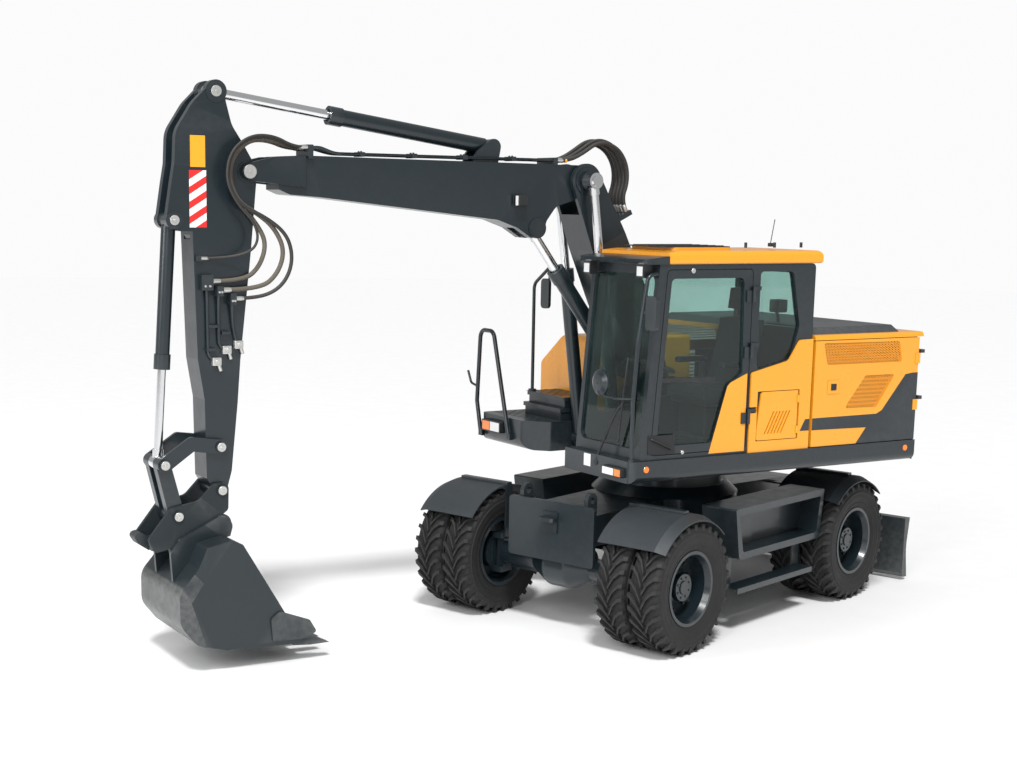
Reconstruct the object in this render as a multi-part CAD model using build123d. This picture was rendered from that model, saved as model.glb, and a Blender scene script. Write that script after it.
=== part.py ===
from build123d import *
import os
from math import cos, hypot, radians, sin, tan

# Wheeled excavator with a two-piece boom, 14 t class, in millimetres.
# Origin: on the ground, on the swing axis.  +X points forward along the boom,
# +Y to the machine's left (the cab side), +Z up.  The undercarriage is turned
# by SWING_REST under the upper structure, so its pieces are built straight
# and turned last.

# ---- clearances ------------------------------------------------------------
FIT = 0.3                  # between a piece and its seat, pin plates included
PANEL_GAP = 6.0            # round doors and lids

# ---- undercarriage ---------------------------------------------------------
SWING_REST = 18.0          # undercarriage heading, degrees left of the boom
FRONT_AXLE_X = 1380.0      # from the swing axis, in undercarriage axes
REAR_AXLE_X = -1220.0
WHEEL_R = 527.0            # tyre radius out to the lugs = axle height
TYRE_CROWN_R = 500.0       # radius between the lugs
TYRE_W = 278.0
BEAD_W = 206.0             # tyre width at the rim
BELLY_R = 400.0            # radius where the sidewall bulges most
LUGS = 15                  # on each half of the tread
LUG_SHARE = 0.52           # of the pitch that a lug fills
RIM_R = 287.0
FLANGE_R = 300.0
FLANGE_W = 11.0
RIM_INSIDE_R = 252.0
DISC_T = 14.0
DISC_INSET = 60.0          # from the tyre's centre, towards the other tyre
WHEEL_OUT_Y = 1111.0       # centre of the outer tyre
WHEEL_IN_Y = 797.0         # centre of the inner tyre
HUB_R = 150.0
HUB_CAP_R = 108.0
HUB_CAP_OUT = 42.0         # past the centre of the outer tyre
KINGPIN_Y = 690.0
KINGPIN_R = 32.0
KNUCKLE_R = 120.0
YOKE_GAP = 250.0           # between the yoke's two plates
YOKE_T = 45.0
AXLE_R = 92.0
BOWL_R = 212.0
STEER_MAX = 30.0
FRAME_REAR_X = -1640.0
FRAME_TOP_Z = 1010.0
FRAME_BOTTOM_Z = 640.0
FRAME_HALF_W = 360.0
ARCH_TOP_Z = 745.0         # underside of the frame over the axles
PLATE_X = 1579.0           # rear face of the front plate
PLATE_T = 32.0
PLATE_HALF_W = 438.0
PLATE_BOTTOM_Z = 590.0
PLATE_TOP_Z = 1085.0
EYE_R = 62.0               # lifting eyes on the front plate
EYE_HOLE_R = 27.0
EYE_T = 40.0
EYE_Y = 330.0
HOOK_Z = 925.0
SIDE_BOX_Y = 1165.0        # outer face of the side boxes
SIDE_BOX_DEPTH = 330.0
SIDE_BOX_TOP_Z = 1051.0
SIDE_BOX_BOTTOM_Z = 623.0
SIDE_BOX_FRONT = (678.0, 600.0)     # x at the top and at the bottom
SIDE_BOX_REAR = (-749.0, -699.0)
SIDE_BOX_RIM = 58.0
RECESS_DEPTH = 190.0
STEP_Z = 400.0
STEP_Y = 1200.0
STEP_W = 150.0
STEP_T = 12.0
STEP_LIP = 46.0
STEP_FRONT_X = 660.0
STEP_REAR_X = -536.0
FENDER_GAP = 48.0          # between the tyre and its fender
FENDER_T = 10.0
FENDER_IN = 150.0          # inboard of the inner tyre's centre
FENDER_OUT = 150.0         # outboard of the outer tyre's centre
FENDER_DROP = 38.0         # how far the outer edge turns down
FENDER_TURN_W = 85.0
ARM_BAR_T = 22.0           # steel bar that carries a fender
RING_R = 520.0             # slewing ring
CONE_R = 640.0
CONE_TOP_Z = 1095.0
RING_TOP_Z = 1190.0
BLADE_PIVOT = (-1760.0, 560.0)      # x, z in undercarriage axes
BLADE_X = -2235.0
BLADE_BOTTOM_Z = 30.0
BLADE_TOP_Z = 597.0
BLADE_T = 96.0
BLADE_HALF_W = 1240.0
BLADE_ARM_Y = 330.0
BLADE_ARM_T = 50.0
BLADE_LUG_GAP = 64.0       # between a blade arm and its frame lugs' mid plane
BLADE_LUG_T = 28.0
BLADE_CYL_BASE = (-1712.0, 880.0)
BLADE_CYL_EYE = (-2080.0, 640.0)
BLADE_CYL_Y = 200.0
BLADE_BARREL_EYE = 58.0
BLADE_ROD_EYE = 40.0
BLADE_UP = 22.0
BLADE_DOWN = 12.0

# ---- upper structure -------------------------------------------------------
DECK_BOTTOM_Z = 1320.0
DECK_TOP_Z = 1494.0
DECK_HALF_W = 1245.0
DECK_FRONT_X = 1290.0
DECK_REAR_X = -1735.0
SKIRT_ROUND = 60.0
FLOOR_T = 30.0             # cab floor plate on the deck
BAY_Y = 325.0              # the boom's bay lies between -BAY_Y and BAY_Y
BAY_FRONT_X = 600.0
TURNTABLE_R = 500.0
BRACKET_IN = 150.0         # boom bracket cheeks
BRACKET_OUT = 180.0
RIGHT_FRONT_X = 1187.0     # right platform
RIGHT_TOP_Z = 1600.0
RIGHT_OUT_Y = 1180.0
RIGHT_CHAMFER = 190.0
RIGHT_BOTTOM_Z = 1345.0
STEP_TOPS = (1710.0, 1805.0)        # the two steps up to the tank
STEP_FRONTS = (905.0, 865.0)
STEP_Y_RANGE = (-935.0, -345.0)
TANK_FRONT_X = 520.0
TANK_TOP_Z = 2310.0
TANK_EDGE_Z = 2030.0       # where its outer wall starts to slope in
TANK_SLOPE_Y = 870.0
TANK_IN_Y = 400.0
TAIL_R = 2117.0            # tail swing radius
TAIL_TOP_Z = 2385.0
TAIL_HALF_W = DECK_HALF_W - 23.0
TAIL_CORNER_X = -1800.0
TAIL_ROUND = 110.0
TAIL_BAND_Z = 1560.0      # top of the tail's proud lower band
TAIL_STEP = 14.0
HOOD_TOP_Z = 2426.0
HOOD_FRONT_X = -545.0
HOOD_Y = DECK_HALF_W - 13.0
HOOD_T = 36.0
HOOD_LID_T = 40.7          # thickness of the hood's top
HOOD_HINGE_ZS = (1800.0, 2200.0)
HOOD_HINGE_H = 90.0
HOOD_ROUND = 52.0
HOOD_POST = 60.0
GRILLE_BARS = 7
GRILLE_UPPER = ((-640, 2360), (-1497, 2352), (-1536, 2178), (-688, 2178))
GRILLE_LOWER = ((-1125, 2074), (-1465, 2074), (-1266, 1800), (-902, 1806))
COVER_Y = (-900.0, 1150.0)
COVER_REAR_X = -1560.0
COVER_FRONT_X = -590.0
COVER_T = 55.0
COVER_WALL = 18.0
HOOD_OPEN = 90.0
HINGE_R = 9.0

# ---- cab -------------------------------------------------------------------
CAB_LEFT_Y = DECK_HALF_W - 30.0
CAB_RIGHT_Y = 325.0
CAB_REAR_X = -521.0
CAB_WALL = 55.0
CAB_SILL = (1185.0, 1494.0)         # foot of the windscreen, x and z
CAB_BROW = (1065.0, 3005.0)         # head of the windscreen
CAB_EAVES_Z = 3015.0
CAB_TOP_Z = 3140.0
ROOF_FRONT_X = 986.0
ROOF_REAR_X = -580.0
ROOF_OVER = 18.0           # past the cab's walls
ROOF_ROUND = 48.0
VISOR_FRONT_X = 1225.0
VISOR_T = 26.0
HATCH = (230.0, 820.0)     # x from and to
HATCH_RISE = 22.0
B_PILLAR_X = 140.0
DOOR_HEAD_DROP = 45.0      # from the eaves to the door's head
DOOR_SILL_RISE = 40.0
DOOR_FRONT = (1095.0, 985.0)        # x at its sill and at its head
DOOR_T = 50.0
DOOR_HINGE_ZS = (1780.0, 2310.0, 2760.0)
DOOR_HINGE_H = 90.0
DOOR_PIN_R = 13.0
DOOR_AXIS_X = 134.0
DOOR_AXIS_Y = 1235.0
DOOR_OPEN = 160.0
GLASS_T = 6.0
GLASS_IN = 22.0            # from the outer face to a pane
PANEL_T = 16.0             # yellow quarter panel on the cab's side
FLAP_REAR_X = -383.0
FLAP_FRONT_X = 40.0
FLAP_BOTTOM_Z = 1590.0
FLAP_TOP_Z = 1985.0
FLAP_OPEN = 100.0
LOUVRES = 6
REAR_SIDE_WINDOW = ((-375, 2513, 50), (-300, 2242, 40), (58, 2165, 30), (58, 2953, 30), (-285, 2950, 40))
DOOR_WINDOW = ((205, 2145, 40), (330, 2060, 40), (480, 1600, 60), (1040, 1600, 70), (945, 2905, 40), (225, 2905, 40))
RIGHT_WINDOW = ((-430, 2000, 60), (1030, 1760, 60), (960, 2915, 50), (-430, 2915, 60))
SCREEN_BORDER = 48.0       # between the windscreen and the cab's sides
SCREEN_ZS = (1575.0, 2935.0)
REAR_BORDER = 110.0
REAR_WINDOW_ZS = (2480.0, 2930.0)
SEAT_X = 170.0
SEAT_Y = 775.0
SEAT_W = 500.0
SEAT_TOP_Z = 2020.0
STEERING = (765.0, 2185.0)          # x and z of the steering wheel

# ---- rails and mirrors -----------------------------------------------------
RAIL_R = 19.0
RAIL_TOP_Z = 2345.0
MIRROR_R = 112.0

# ---- working gear, x and z at rest ----------------------------------------
BOOM_FOOT = (190.0, 1900.0)
KNUCKLE = (1040.0, 3650.0)
TIP = (4012.0, 3665.0)
ADJUST_LUG = (1483.0, 3267.0)
ADJUST_BASE = (555.0, 2075.0)
BOOM_CYL_BASE = (735.0, 1455.0)
ARM_CYL_BASE = (1890.0, 3902.0)
ARM_CYL_EYE = (4249.0, 4227.0)
BUCKET_CYL_BASE = (4577.0, 3313.0)
ROCKER_PIN = (4254.0, 1657.0)
LINK_PIN = (4692.0, 1547.0)
ARM_PIN = (4249.0, 1330.0)
COUPLER_PIN = (4594.0, 1159.0)
BUCKET_PINS = ((4250.0, 1078.0), (4592.0, 910.0))

BOOM_HALF_W = 120.0        # upper boom
FORK_IN = 130.0            # lower boom's cheeks around the upper boom
FORK_OUT = 168.0
KNUCKLE_SLOT_R = 275.0
BOOM_CYL_Y = 255.0
BOOM_EYE = 48.0            # half width of the boom cylinders' eyes
ADJUST_SLOT = 52.0         # half width of the slot for the adjusting rod
ADJUST_LUG_IN = 72.0
ARM_HALF_W = 121.0
ARM_SLOT = 62.0            # half width of the arm's slots for cylinder eyes
ARM_LUG_IN = 68.0
TIP_FORK_IN = 128.0
TIP_FORK_OUT = 160.0
LINK_IN = 128.0            # rocker and coupler plates outside the arm
LINK_OUT = 160.0
LINK_SLOT = 50.0           # half width between the push link's legs
BUCKET_HALF_W = 415.0
BUCKET_WALL = 16.0
EAR_T = 34.0
TEETH = 5
TOOTH_W = 70.0
PIN_R = 38.0
CAP_R = 42.0
KNUCKLE_HOSES = 5
KNUCKLE_HOSE_R = 17.0
HOSE_PITCH = 48.0
HOSE_REST = 125.0          # half width of the rests that hold the row of hoses
ROD_SLACK = 6.0            # round a rod in its barrel

BOOM_UP = 20.0
BOOM_DOWN = 50.0
ADJUST_UP = 28.0
ADJUST_DOWN = 26.0
ARM_IN = 22.0
ARM_OUT = 75.0
BUCKET_IN = 60.0
BUCKET_OUT = 90.0


# ---- shape helpers ---------------------------------------------------------
def box(x0, x1, y0, y1, z0, z1):
    """Block between two corners."""
    centre = Pos((x0 + x1) / 2, (y0 + y1) / 2, (z0 + z1) / 2)
    return centre * Box(abs(x1 - x0), abs(y1 - y0), abs(z1 - z0))


def across(x, z, radius, y0, y1):
    """Round bar along Y."""
    return Pos(x, (y0 + y1) / 2, z) * Rot(90, 0, 0) * Cylinder(radius, abs(y1 - y0))


def outline(corners, place):
    """Closed face through corners (u, v, radius); place turns u, v into a point."""
    count = len(corners)
    firsts, lasts, arcs = [], [], []
    for i, (u, v, radius) in enumerate(corners):
        corner = place(u, v)
        before = (place(*corners[i - 1][:2]) - corner).normalized()
        after = (place(*corners[(i + 1) % count][:2]) - corner).normalized()
        if radius == 0:
            firsts.append(corner)
            lasts.append(corner)
            continue
        half = radians(before.get_angle(after) / 2)
        reach = radius / tan(half)
        middle = (before + after).normalized()
        first = corner + before * reach
        last = corner + after * reach
        crown = corner + middle * (radius / sin(half) - radius)
        arcs.append(ThreePointArc(first, crown, last))
        firsts.append(first)
        lasts.append(last)
    edges = list(arcs)
    for i in range(count):
        start, end = lasts[i], firsts[(i + 1) % count]
        if (end - start).length > 0.01:
            edges.append(Line(start, end))
    return make_face(edges)


def slab(corners, y0, y1):
    """Side profile (x, z, radius) swept across from y0 to y1."""
    face = outline(corners, lambda u, v: Vector(u, y0, v))
    return extrude(face, amount=y1 - y0, dir=(0, 1, 0))


def deck_slab(corners, z0, z1):
    """Plan outline (x, y, radius) raised from z0 to z1."""
    face = outline(corners, lambda u, v: Vector(u, v, z0))
    return extrude(face, amount=z1 - z0, dir=(0, 0, 1))


def cross_slab(corners, x0, x1):
    """Cross section (y, z, radius) run along X from x0 to x1."""
    face = outline(corners, lambda u, v: Vector(x0, u, v))
    return extrude(face, amount=x1 - x0, dir=(1, 0, 0))


def strap(a, ra, b, rb, y0, y1):
    """Link plate with round ends at a and b, between y0 and y1."""
    ends = [Pos(p[0], p[1]) * Circle(r) for p, r in ((a, ra), (b, rb))]
    face = make_hull((ends[0] + ends[1]).edges())
    solid = extrude(Plane.XZ * face, amount=-(y1 - y0))
    return Pos(0, y0, 0) * solid


def mirrored(shape):
    return mirror(shape, Plane.XZ)


def pair(shape):
    """The shape and its mirror image across the centre plane."""
    return [shape, mirrored(shape)]


def between(a, b, along):
    """Point at a distance from a towards b."""
    span = hypot(b[0] - a[0], b[1] - a[1])
    return (a[0] + (b[0] - a[0]) * along / span, a[1] + (b[1] - a[1]) * along / span)


def bar(a, b, y, radius, start, end):
    """Round bar from start to end along the line from pin a to pin b."""
    p, q = between(a, b, start), between(a, b, end)
    path = Vector(q[0] - p[0], 0, q[1] - p[1])
    plane = Plane(origin=(p[0], y, p[1]), z_dir=path)
    return extrude(plane * Circle(radius), amount=path.length)


def barrel(a, b, y, radius, length, eye_r, eye_half):
    """Cylinder barrel with its base eye at a, pointing at b."""
    body = bar(a, b, y, radius, eye_r * 0.8, length - 70)
    head = bar(a, b, y, radius + 9, length - 110, length)
    eye = across(a[0], a[1], eye_r, y - eye_half, y + eye_half)
    bore = bar(a, b, y, ROD_SLACK + radius * 0.62, 2.2 * eye_r, length + 5)
    return body + head + eye - bore


def rod(a, b, y, radius, length, eye_r, eye_half):
    """Piston rod with its eye at b, reaching back towards a."""
    span = hypot(b[0] - a[0], b[1] - a[1])
    stem = bar(a, b, y, radius, span - length, span - eye_r * 0.5)
    shank = bar(a, b, y, radius * 1.25, span - eye_r - 45, span - eye_r * 0.5)
    eye = across(b[0], b[1], eye_r, y - eye_half, y + eye_half)
    return stem + shank + eye


def rolled(shape):
    """Turn an undercarriage piece to its place under the upper structure."""
    return Rot(0, 0, SWING_REST) * shape


def save(name, pieces):
    """Write one node from one solid or several that stand apart."""
    solids = []
    for piece in pieces if isinstance(pieces, list) else [pieces]:
        solids.extend(piece.solids())
    shape = solids[0] if len(solids) == 1 else Compound(children=solids)
    export_step(shape, os.path.join("parts", name + ".step"))


os.makedirs("parts", exist_ok=True)


# ---- undercarriage ---------------------------------------------------------
def ring_frame():
    """Cone and slewing ring on top of the frame."""
    cone_h = CONE_TOP_Z - FRAME_TOP_Z
    cone = Pos(0, 0, FRAME_TOP_Z + cone_h / 2) * Cone(CONE_R, RING_R + 25, cone_h)
    ring_h = RING_TOP_Z - CONE_TOP_Z
    return cone + Pos(0, 0, CONE_TOP_Z + ring_h / 2) * Cylinder(RING_R, ring_h)


def fender_arm(x, y_in, y_out):
    """Steel bar over a fender's crown, on an upright beside its inner edge."""
    crown_z = WHEEL_R + WHEEL_R + FENDER_GAP + FENDER_T
    skin_y = WHEEL_IN_Y - FENDER_IN
    upright = box(x - 40, x + 40, skin_y - FIT - 16, skin_y - FIT, y_in, crown_z + FIT)
    bar = box(x - 30, x + 30, skin_y - FIT - 16, y_out, crown_z + FIT, crown_z + FIT + ARM_BAR_T)
    return upright + bar


def lifting_eye(y):
    """Upright ring lug behind the front plate's top edge."""
    x = PLATE_X - EYE_R - FIT
    z = PLATE_TOP_Z + 40
    y0, y1 = y - EYE_T / 2, y + EYE_T / 2
    foot = box(x - EYE_R, x + EYE_R, y0, y1, FRAME_TOP_Z + FIT, z)
    return foot + across(x, z, EYE_R, y0, y1) - across(x, z, EYE_HOLE_R, y0 - 5, y1 + 5)


def front_plate():
    plate = cross_slab(
        [
            (-PLATE_HALF_W, PLATE_BOTTOM_Z, 30),
            (PLATE_HALF_W, PLATE_BOTTOM_Z, 30),
            (PLATE_HALF_W, PLATE_TOP_Z, 30),
            (-PLATE_HALF_W, PLATE_TOP_Z, 30),
        ],
        PLATE_X,
        PLATE_X + PLATE_T,
    )
    face = PLATE_X + PLATE_T
    shelf = deck_slab([(face, -75, 0), (face + 75, -75, 30), (face + 75, 75, 30), (face, 75, 0)], HOOK_Z, HOOK_Z + 32)
    back = box(face - 1, face + 14, -75, 75, HOOK_Z - 95, HOOK_Z + 75)
    return plate + shelf + back


def chassis_frame():
    corners = [
        (FRAME_REAR_X, FRAME_BOTTOM_Z + 80, 0),
        (FRAME_REAR_X + 90, FRAME_BOTTOM_Z, 0),
        (PLATE_X, FRAME_BOTTOM_Z, 0),
        (PLATE_X, FRAME_TOP_Z - 15, 0),
        (CONE_R, FRAME_TOP_Z, 0),
        (-CONE_R, FRAME_TOP_Z, 0),
        (FRAME_REAR_X, FRAME_TOP_Z - 40, 0),
    ]
    frame = slab(corners, -FRAME_HALF_W, FRAME_HALF_W)
    for axle_x in (FRONT_AXLE_X, REAR_AXLE_X):
        frame = frame - box(axle_x - 240, axle_x + 240, -500, 500, FRAME_BOTTOM_Z - 5, ARCH_TOP_Z)
    bed = Pos(0, 0, FRAME_TOP_Z - 90) * Cylinder(CONE_R, 180)
    frame = frame + bed + ring_frame() + front_plate()
    for side in (-1, 1):
        for x in (460, -460):
            frame = frame + box(x - 60, x + 60, side * (FRAME_HALF_W - 5), side * (SIDE_BOX_Y - SIDE_BOX_DEPTH), 700, 860)
        arm = fender_arm(REAR_AXLE_X, FRAME_TOP_Z - 60, WHEEL_OUT_Y + 40)
        root = box(REAR_AXLE_X - 40, REAR_AXLE_X + 40, FRAME_HALF_W - 5, WHEEL_IN_Y - FENDER_IN - 10,
                   FRAME_TOP_Z - 60, FRAME_TOP_Z - 45)
        arm = arm + root
        frame = frame + (arm if side > 0 else mirrored(arm))
        for offset in (-1, 1):
            y = side * BLADE_ARM_Y + offset * (BLADE_ARM_T / 2 + FIT + BLADE_LUG_T / 2)
            lug = strap(BLADE_PIVOT, 60, (FRAME_REAR_X + 100, 740), 90, y - BLADE_LUG_T / 2, y + BLADE_LUG_T / 2)
            y = side * BLADE_CYL_Y + offset * (BLADE_BARREL_EYE + FIT + 12)
            frame = frame + lug + strap(BLADE_CYL_BASE, 50, (FRAME_REAR_X + 60, 890), 70, y - 12, y + 12)
    return frame


def side_box(side):
    """Storage box with an open front, and the step that hangs under it."""
    front_top, front_low = SIDE_BOX_FRONT
    rear_top, rear_low = SIDE_BOX_REAR
    inner_y = SIDE_BOX_Y - SIDE_BOX_DEPTH
    rim = SIDE_BOX_RIM

    def outline_at(inset, radius):
        return [
            (front_low - inset, SIDE_BOX_BOTTOM_Z + inset, radius),
            (front_top - inset, SIDE_BOX_TOP_Z - inset, 12),
            (rear_top + inset, SIDE_BOX_TOP_Z - inset, 12),
            (rear_low + inset, SIDE_BOX_BOTTOM_Z + inset, radius),
        ]

    body = slab(outline_at(0, 50), inner_y, SIDE_BOX_Y)
    body = body - slab(outline_at(rim, 26), SIDE_BOX_Y - RECESS_DEPTH, SIDE_BOX_Y + 5)
    body = body + box(150, 470, SIDE_BOX_Y - RECESS_DEPTH - 5, SIDE_BOX_Y - RECESS_DEPTH + 25,
                      SIDE_BOX_BOTTOM_Z + rim, SIDE_BOX_TOP_Z - rim - 60)
    inner_step_y = STEP_Y - STEP_W
    step = box(STEP_REAR_X, STEP_FRONT_X, inner_step_y, STEP_Y, STEP_Z - STEP_T, STEP_Z)
    step = step + box(STEP_REAR_X, STEP_FRONT_X, STEP_Y - STEP_T, STEP_Y, STEP_Z - STEP_LIP, STEP_Z)
    for x in (STEP_REAR_X, STEP_FRONT_X - 110):
        step = step + box(x, x + 110, inner_step_y, inner_step_y + STEP_T, STEP_Z - 5, SIDE_BOX_BOTTOM_Z + 5)
    shape = body + step
    return shape if side > 0 else mirrored(shape)


def axle(x, reach, inward):
    """Axle beam with its differential bowl, drive input and frame seat."""
    tube = across(x, WHEEL_R, AXLE_R, -reach, reach)
    profile = [(0, -290, 0), (AXLE_R + 1, -290, 0), (BOWL_R - 20, -110, 90), (BOWL_R - 20, 110, 90),
               (AXLE_R + 1, 290, 0), (0, 290, 0)]
    face = outline(profile, lambda u, v: Vector(x + u, v, WHEEL_R))
    bowl = revolve(face, Axis((x, 0, WHEEL_R), (0, 1, 0)), 360)
    nose = Pos(x + inward * 190, 0, WHEEL_R) * Rot(0, 90, 0) * Cylinder(98, 240)
    seat = box(x - 120, x + 120, -170, 170, WHEEL_R + 60, ARCH_TOP_Z)
    ribs = [box(x - 20, x + 20, side * 290, side * (reach - 60), WHEEL_R - AXLE_R - 22, WHEEL_R) for side in (-1, 1)]
    return tube + bowl + nose + seat + ribs


def front_axle():
    """Steering axle: each end holds its kingpin between the yoke's plates."""
    shape = axle(FRONT_AXLE_X, KINGPIN_Y - 50, -1)
    head = YOKE_GAP / 2 - FIT
    for side in (-1, 1):
        y = side * KINGPIN_Y
        shape = shape + Pos(FRONT_AXLE_X, y, WHEEL_R) * Cylinder(KINGPIN_R + 20, 2 * head)
        shape = shape + box(FRONT_AXLE_X - 60, FRONT_AXLE_X + 60, side * (KINGPIN_Y - 60), y, WHEEL_R - head, WHEEL_R + head)
    return shape


def knuckle(side):
    """Steered axle end: yoke, hub carrier and the fender's steel arm."""
    end_y = hub_inner_y() - FIT
    half = YOKE_GAP / 2 + YOKE_T
    carrier = across(FRONT_AXLE_X, WHEEL_R, KNUCKLE_R, KINGPIN_Y + 62, end_y)
    yoke = box(FRONT_AXLE_X - 75, FRONT_AXLE_X + 75, KINGPIN_Y - 42, KINGPIN_Y + 64, WHEEL_R - half, WHEEL_R + half)
    slot = box(FRONT_AXLE_X - 150, FRONT_AXLE_X + 150, KINGPIN_Y - 150, KINGPIN_Y + 54,
               WHEEL_R - YOKE_GAP / 2, WHEEL_R + YOKE_GAP / 2)
    wall = Pos(FRONT_AXLE_X, KINGPIN_Y + 58, WHEEL_R) * Box(150, 8.2, 2 * half)
    shape = (yoke - slot) + wall + carrier
    arm = fender_arm(FRONT_AXLE_X, WHEEL_R + YOKE_GAP / 2 + 10, WHEEL_OUT_Y + 40)
    foot = box(FRONT_AXLE_X - 40, FRONT_AXLE_X + 40, WHEEL_IN_Y - FENDER_IN - FIT - 16, KINGPIN_Y - 41,
               WHEEL_R + YOKE_GAP / 2 + 10, WHEEL_R + half)
    shape = shape + arm + foot
    return shape if side > 0 else mirrored(shape)


def hub_inner_y():
    return WHEEL_IN_Y - 40


def wheel_rims(x, side):
    """Both dished rims of a twin wheel with the hub between them."""
    cap_y = WHEEL_OUT_Y + HUB_CAP_OUT
    neck_y = WHEEL_OUT_Y - DISC_INSET + 34
    hub = [
        (0, hub_inner_y(), 0),
        (HUB_R, hub_inner_y(), 0),
        (HUB_R, neck_y, 0),
        (HUB_CAP_R + 6, neck_y + 24, 0),
        (HUB_CAP_R, cap_y, 0),
        (0, cap_y, 0),
    ]
    axis = Axis((x, 0, WHEEL_R), (0, 1, 0))
    shape = revolve(outline(hub, lambda r, y: Vector(x + r, y, WHEEL_R)), axis, 360)
    half = BEAD_W / 2 + FIT
    for centre, inward in ((WHEEL_IN_Y, 1), (WHEEL_OUT_Y, -1)):
        rim = [
            (FLANGE_R, half + FLANGE_W, 0),
            (FLANGE_R, half, 0),
            (RIM_R - FIT, half, 0),
            (RIM_R - FIT, -half, 0),
            (FLANGE_R, -half, 0),
            (FLANGE_R, -half - FLANGE_W, 0),
            (FLANGE_R - 26, -half - FLANGE_W, 0),
            (RIM_INSIDE_R, -half + 34, 0),
            (RIM_INSIDE_R, half - 34, 0),
            (FLANGE_R - 26, half + FLANGE_W, 0),
        ]
        shape = shape + revolve(outline(rim, lambda r, v: Vector(x + r, centre + v, WHEEL_R)), axis, 360)
        disc_y = centre + inward * DISC_INSET
        shape = shape + across(x, WHEEL_R, RIM_INSIDE_R + 6, disc_y - DISC_T / 2, disc_y + DISC_T / 2)
    return shape if side > 0 else mirrored(shape)


def tread_half(phase, y0, y1):
    """Toothed ring between y0 and y1, one tooth for each lug."""
    corners = []
    for i in range(LUGS):
        for radius, share in (
            (TYRE_CROWN_R, 0.0),
            (WHEEL_R, 0.06),
            (WHEEL_R, LUG_SHARE - 0.06),
            (TYRE_CROWN_R, LUG_SHARE),
        ):
            turn = radians(360 * (i + phase + share) / LUGS)
            corners.append((radius * sin(turn), radius * cos(turn), 0))
    return slab(corners, y0, y1)


def tyre():
    """One tyre about the Y axis, its lugs staggered on the two halves of the tread."""
    half, bead = TYRE_W / 2, BEAD_W / 2
    shoulder = TYRE_CROWN_R - 32
    section = [
        (RIM_R, -bead, 0),
        (FLANGE_R + 1, -bead, 0),
        (BELLY_R, -half, 0),
        (shoulder, -half + 8, 0),
        (shoulder, half - 8, 0),
        (BELLY_R, half, 0),
        (FLANGE_R + 1, bead, 0),
        (RIM_R, bead, 0),
    ]
    carcass = revolve(outline(section, lambda r, y: Vector(r, y, 0)), Axis.Y, 360)
    tread = tread_half(0, -half + 6, 0) + tread_half(0.5, 0, half - 6)
    return tread - across(0, 0, shoulder - 10, -half, half) + carcass


def fender(x, front_angle, rear_angle):
    """Arched fender between two angles above the axle, its outer edge turned down."""
    y0, y1 = WHEEL_IN_Y - FENDER_IN, WHEEL_OUT_Y + FENDER_OUT
    inner = WHEEL_R + FENDER_GAP
    outer = inner + FENDER_T
    section = [
        (y0, inner, 0),
        (y1 - FENDER_TURN_W, inner, 0),
        (y1, inner - FENDER_DROP, 0),
        (y1, outer - FENDER_DROP, 0),
        (y1 - FENDER_TURN_W, outer, 0),
        (y0, outer, 0),
    ]
    face = outline(section, lambda y, r: Vector(0, y, r))
    skin = revolve(face, Axis.Y, rear_angle - front_angle)
    return Pos(x, 0, WHEEL_R) * Rot(0, 90 - rear_angle, 0) * skin


def dozer_blade():
    """Blade with its concave face to the rear, on two arms."""
    x, mid = BLADE_X, (BLADE_BOTTOM_Z + BLADE_TOP_Z) / 2
    plate = slab(
        [
            (x + BLADE_T / 2, BLADE_BOTTOM_Z + 40, 0),
            (x + BLADE_T / 2, BLADE_TOP_Z, 0),
            (x - BLADE_T / 2, BLADE_TOP_Z, 0),
            (x - BLADE_T / 2 + 46, mid, 500),
            (x - BLADE_T / 2, BLADE_BOTTOM_Z, 0),
            (x + 8, BLADE_BOTTOM_Z, 0),
        ],
        -BLADE_HALF_W,
        BLADE_HALF_W,
    )
    for side in (-1, 1):
        y = side * BLADE_ARM_Y
        front = x + BLADE_T / 2
        plate = plate + strap(BLADE_PIVOT, 58, (front - 20, 300), 85, y - BLADE_ARM_T / 2, y + BLADE_ARM_T / 2)
        for offset in (-1, 1):
            y = side * BLADE_CYL_Y + offset * (BLADE_ROD_EYE + FIT + 10)
            plate = plate + strap(BLADE_CYL_EYE, 45, (front - 10, 540), 50, y - 10, y + 10)
        eye = strap((x, BLADE_TOP_Z + 48), 40, (x, BLADE_TOP_Z - 20), 40, side * 600 - 18, side * 600 + 18)
        plate = plate + eye
    return plate


tyre_shape = tyre()
for hand, side in (("left", 1), ("right", -1)):
    save("knuckle_" + hand, rolled(knuckle(side)))
    skin = fender(FRONT_AXLE_X, 38, 135)
    save("front_fender_" + hand, rolled(skin if side > 0 else mirrored(skin)))
    for end, x in (("front", FRONT_AXLE_X), ("rear", REAR_AXLE_X)):
        save("wheel_" + end + "_" + hand, rolled(wheel_rims(x, side)))
        twins = [Pos(x, side * y, WHEEL_R) * tyre_shape for y in (WHEEL_IN_Y, WHEEL_OUT_Y)]
        save("tyres_" + end + "_" + hand, [rolled(t) for t in twins])

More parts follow.
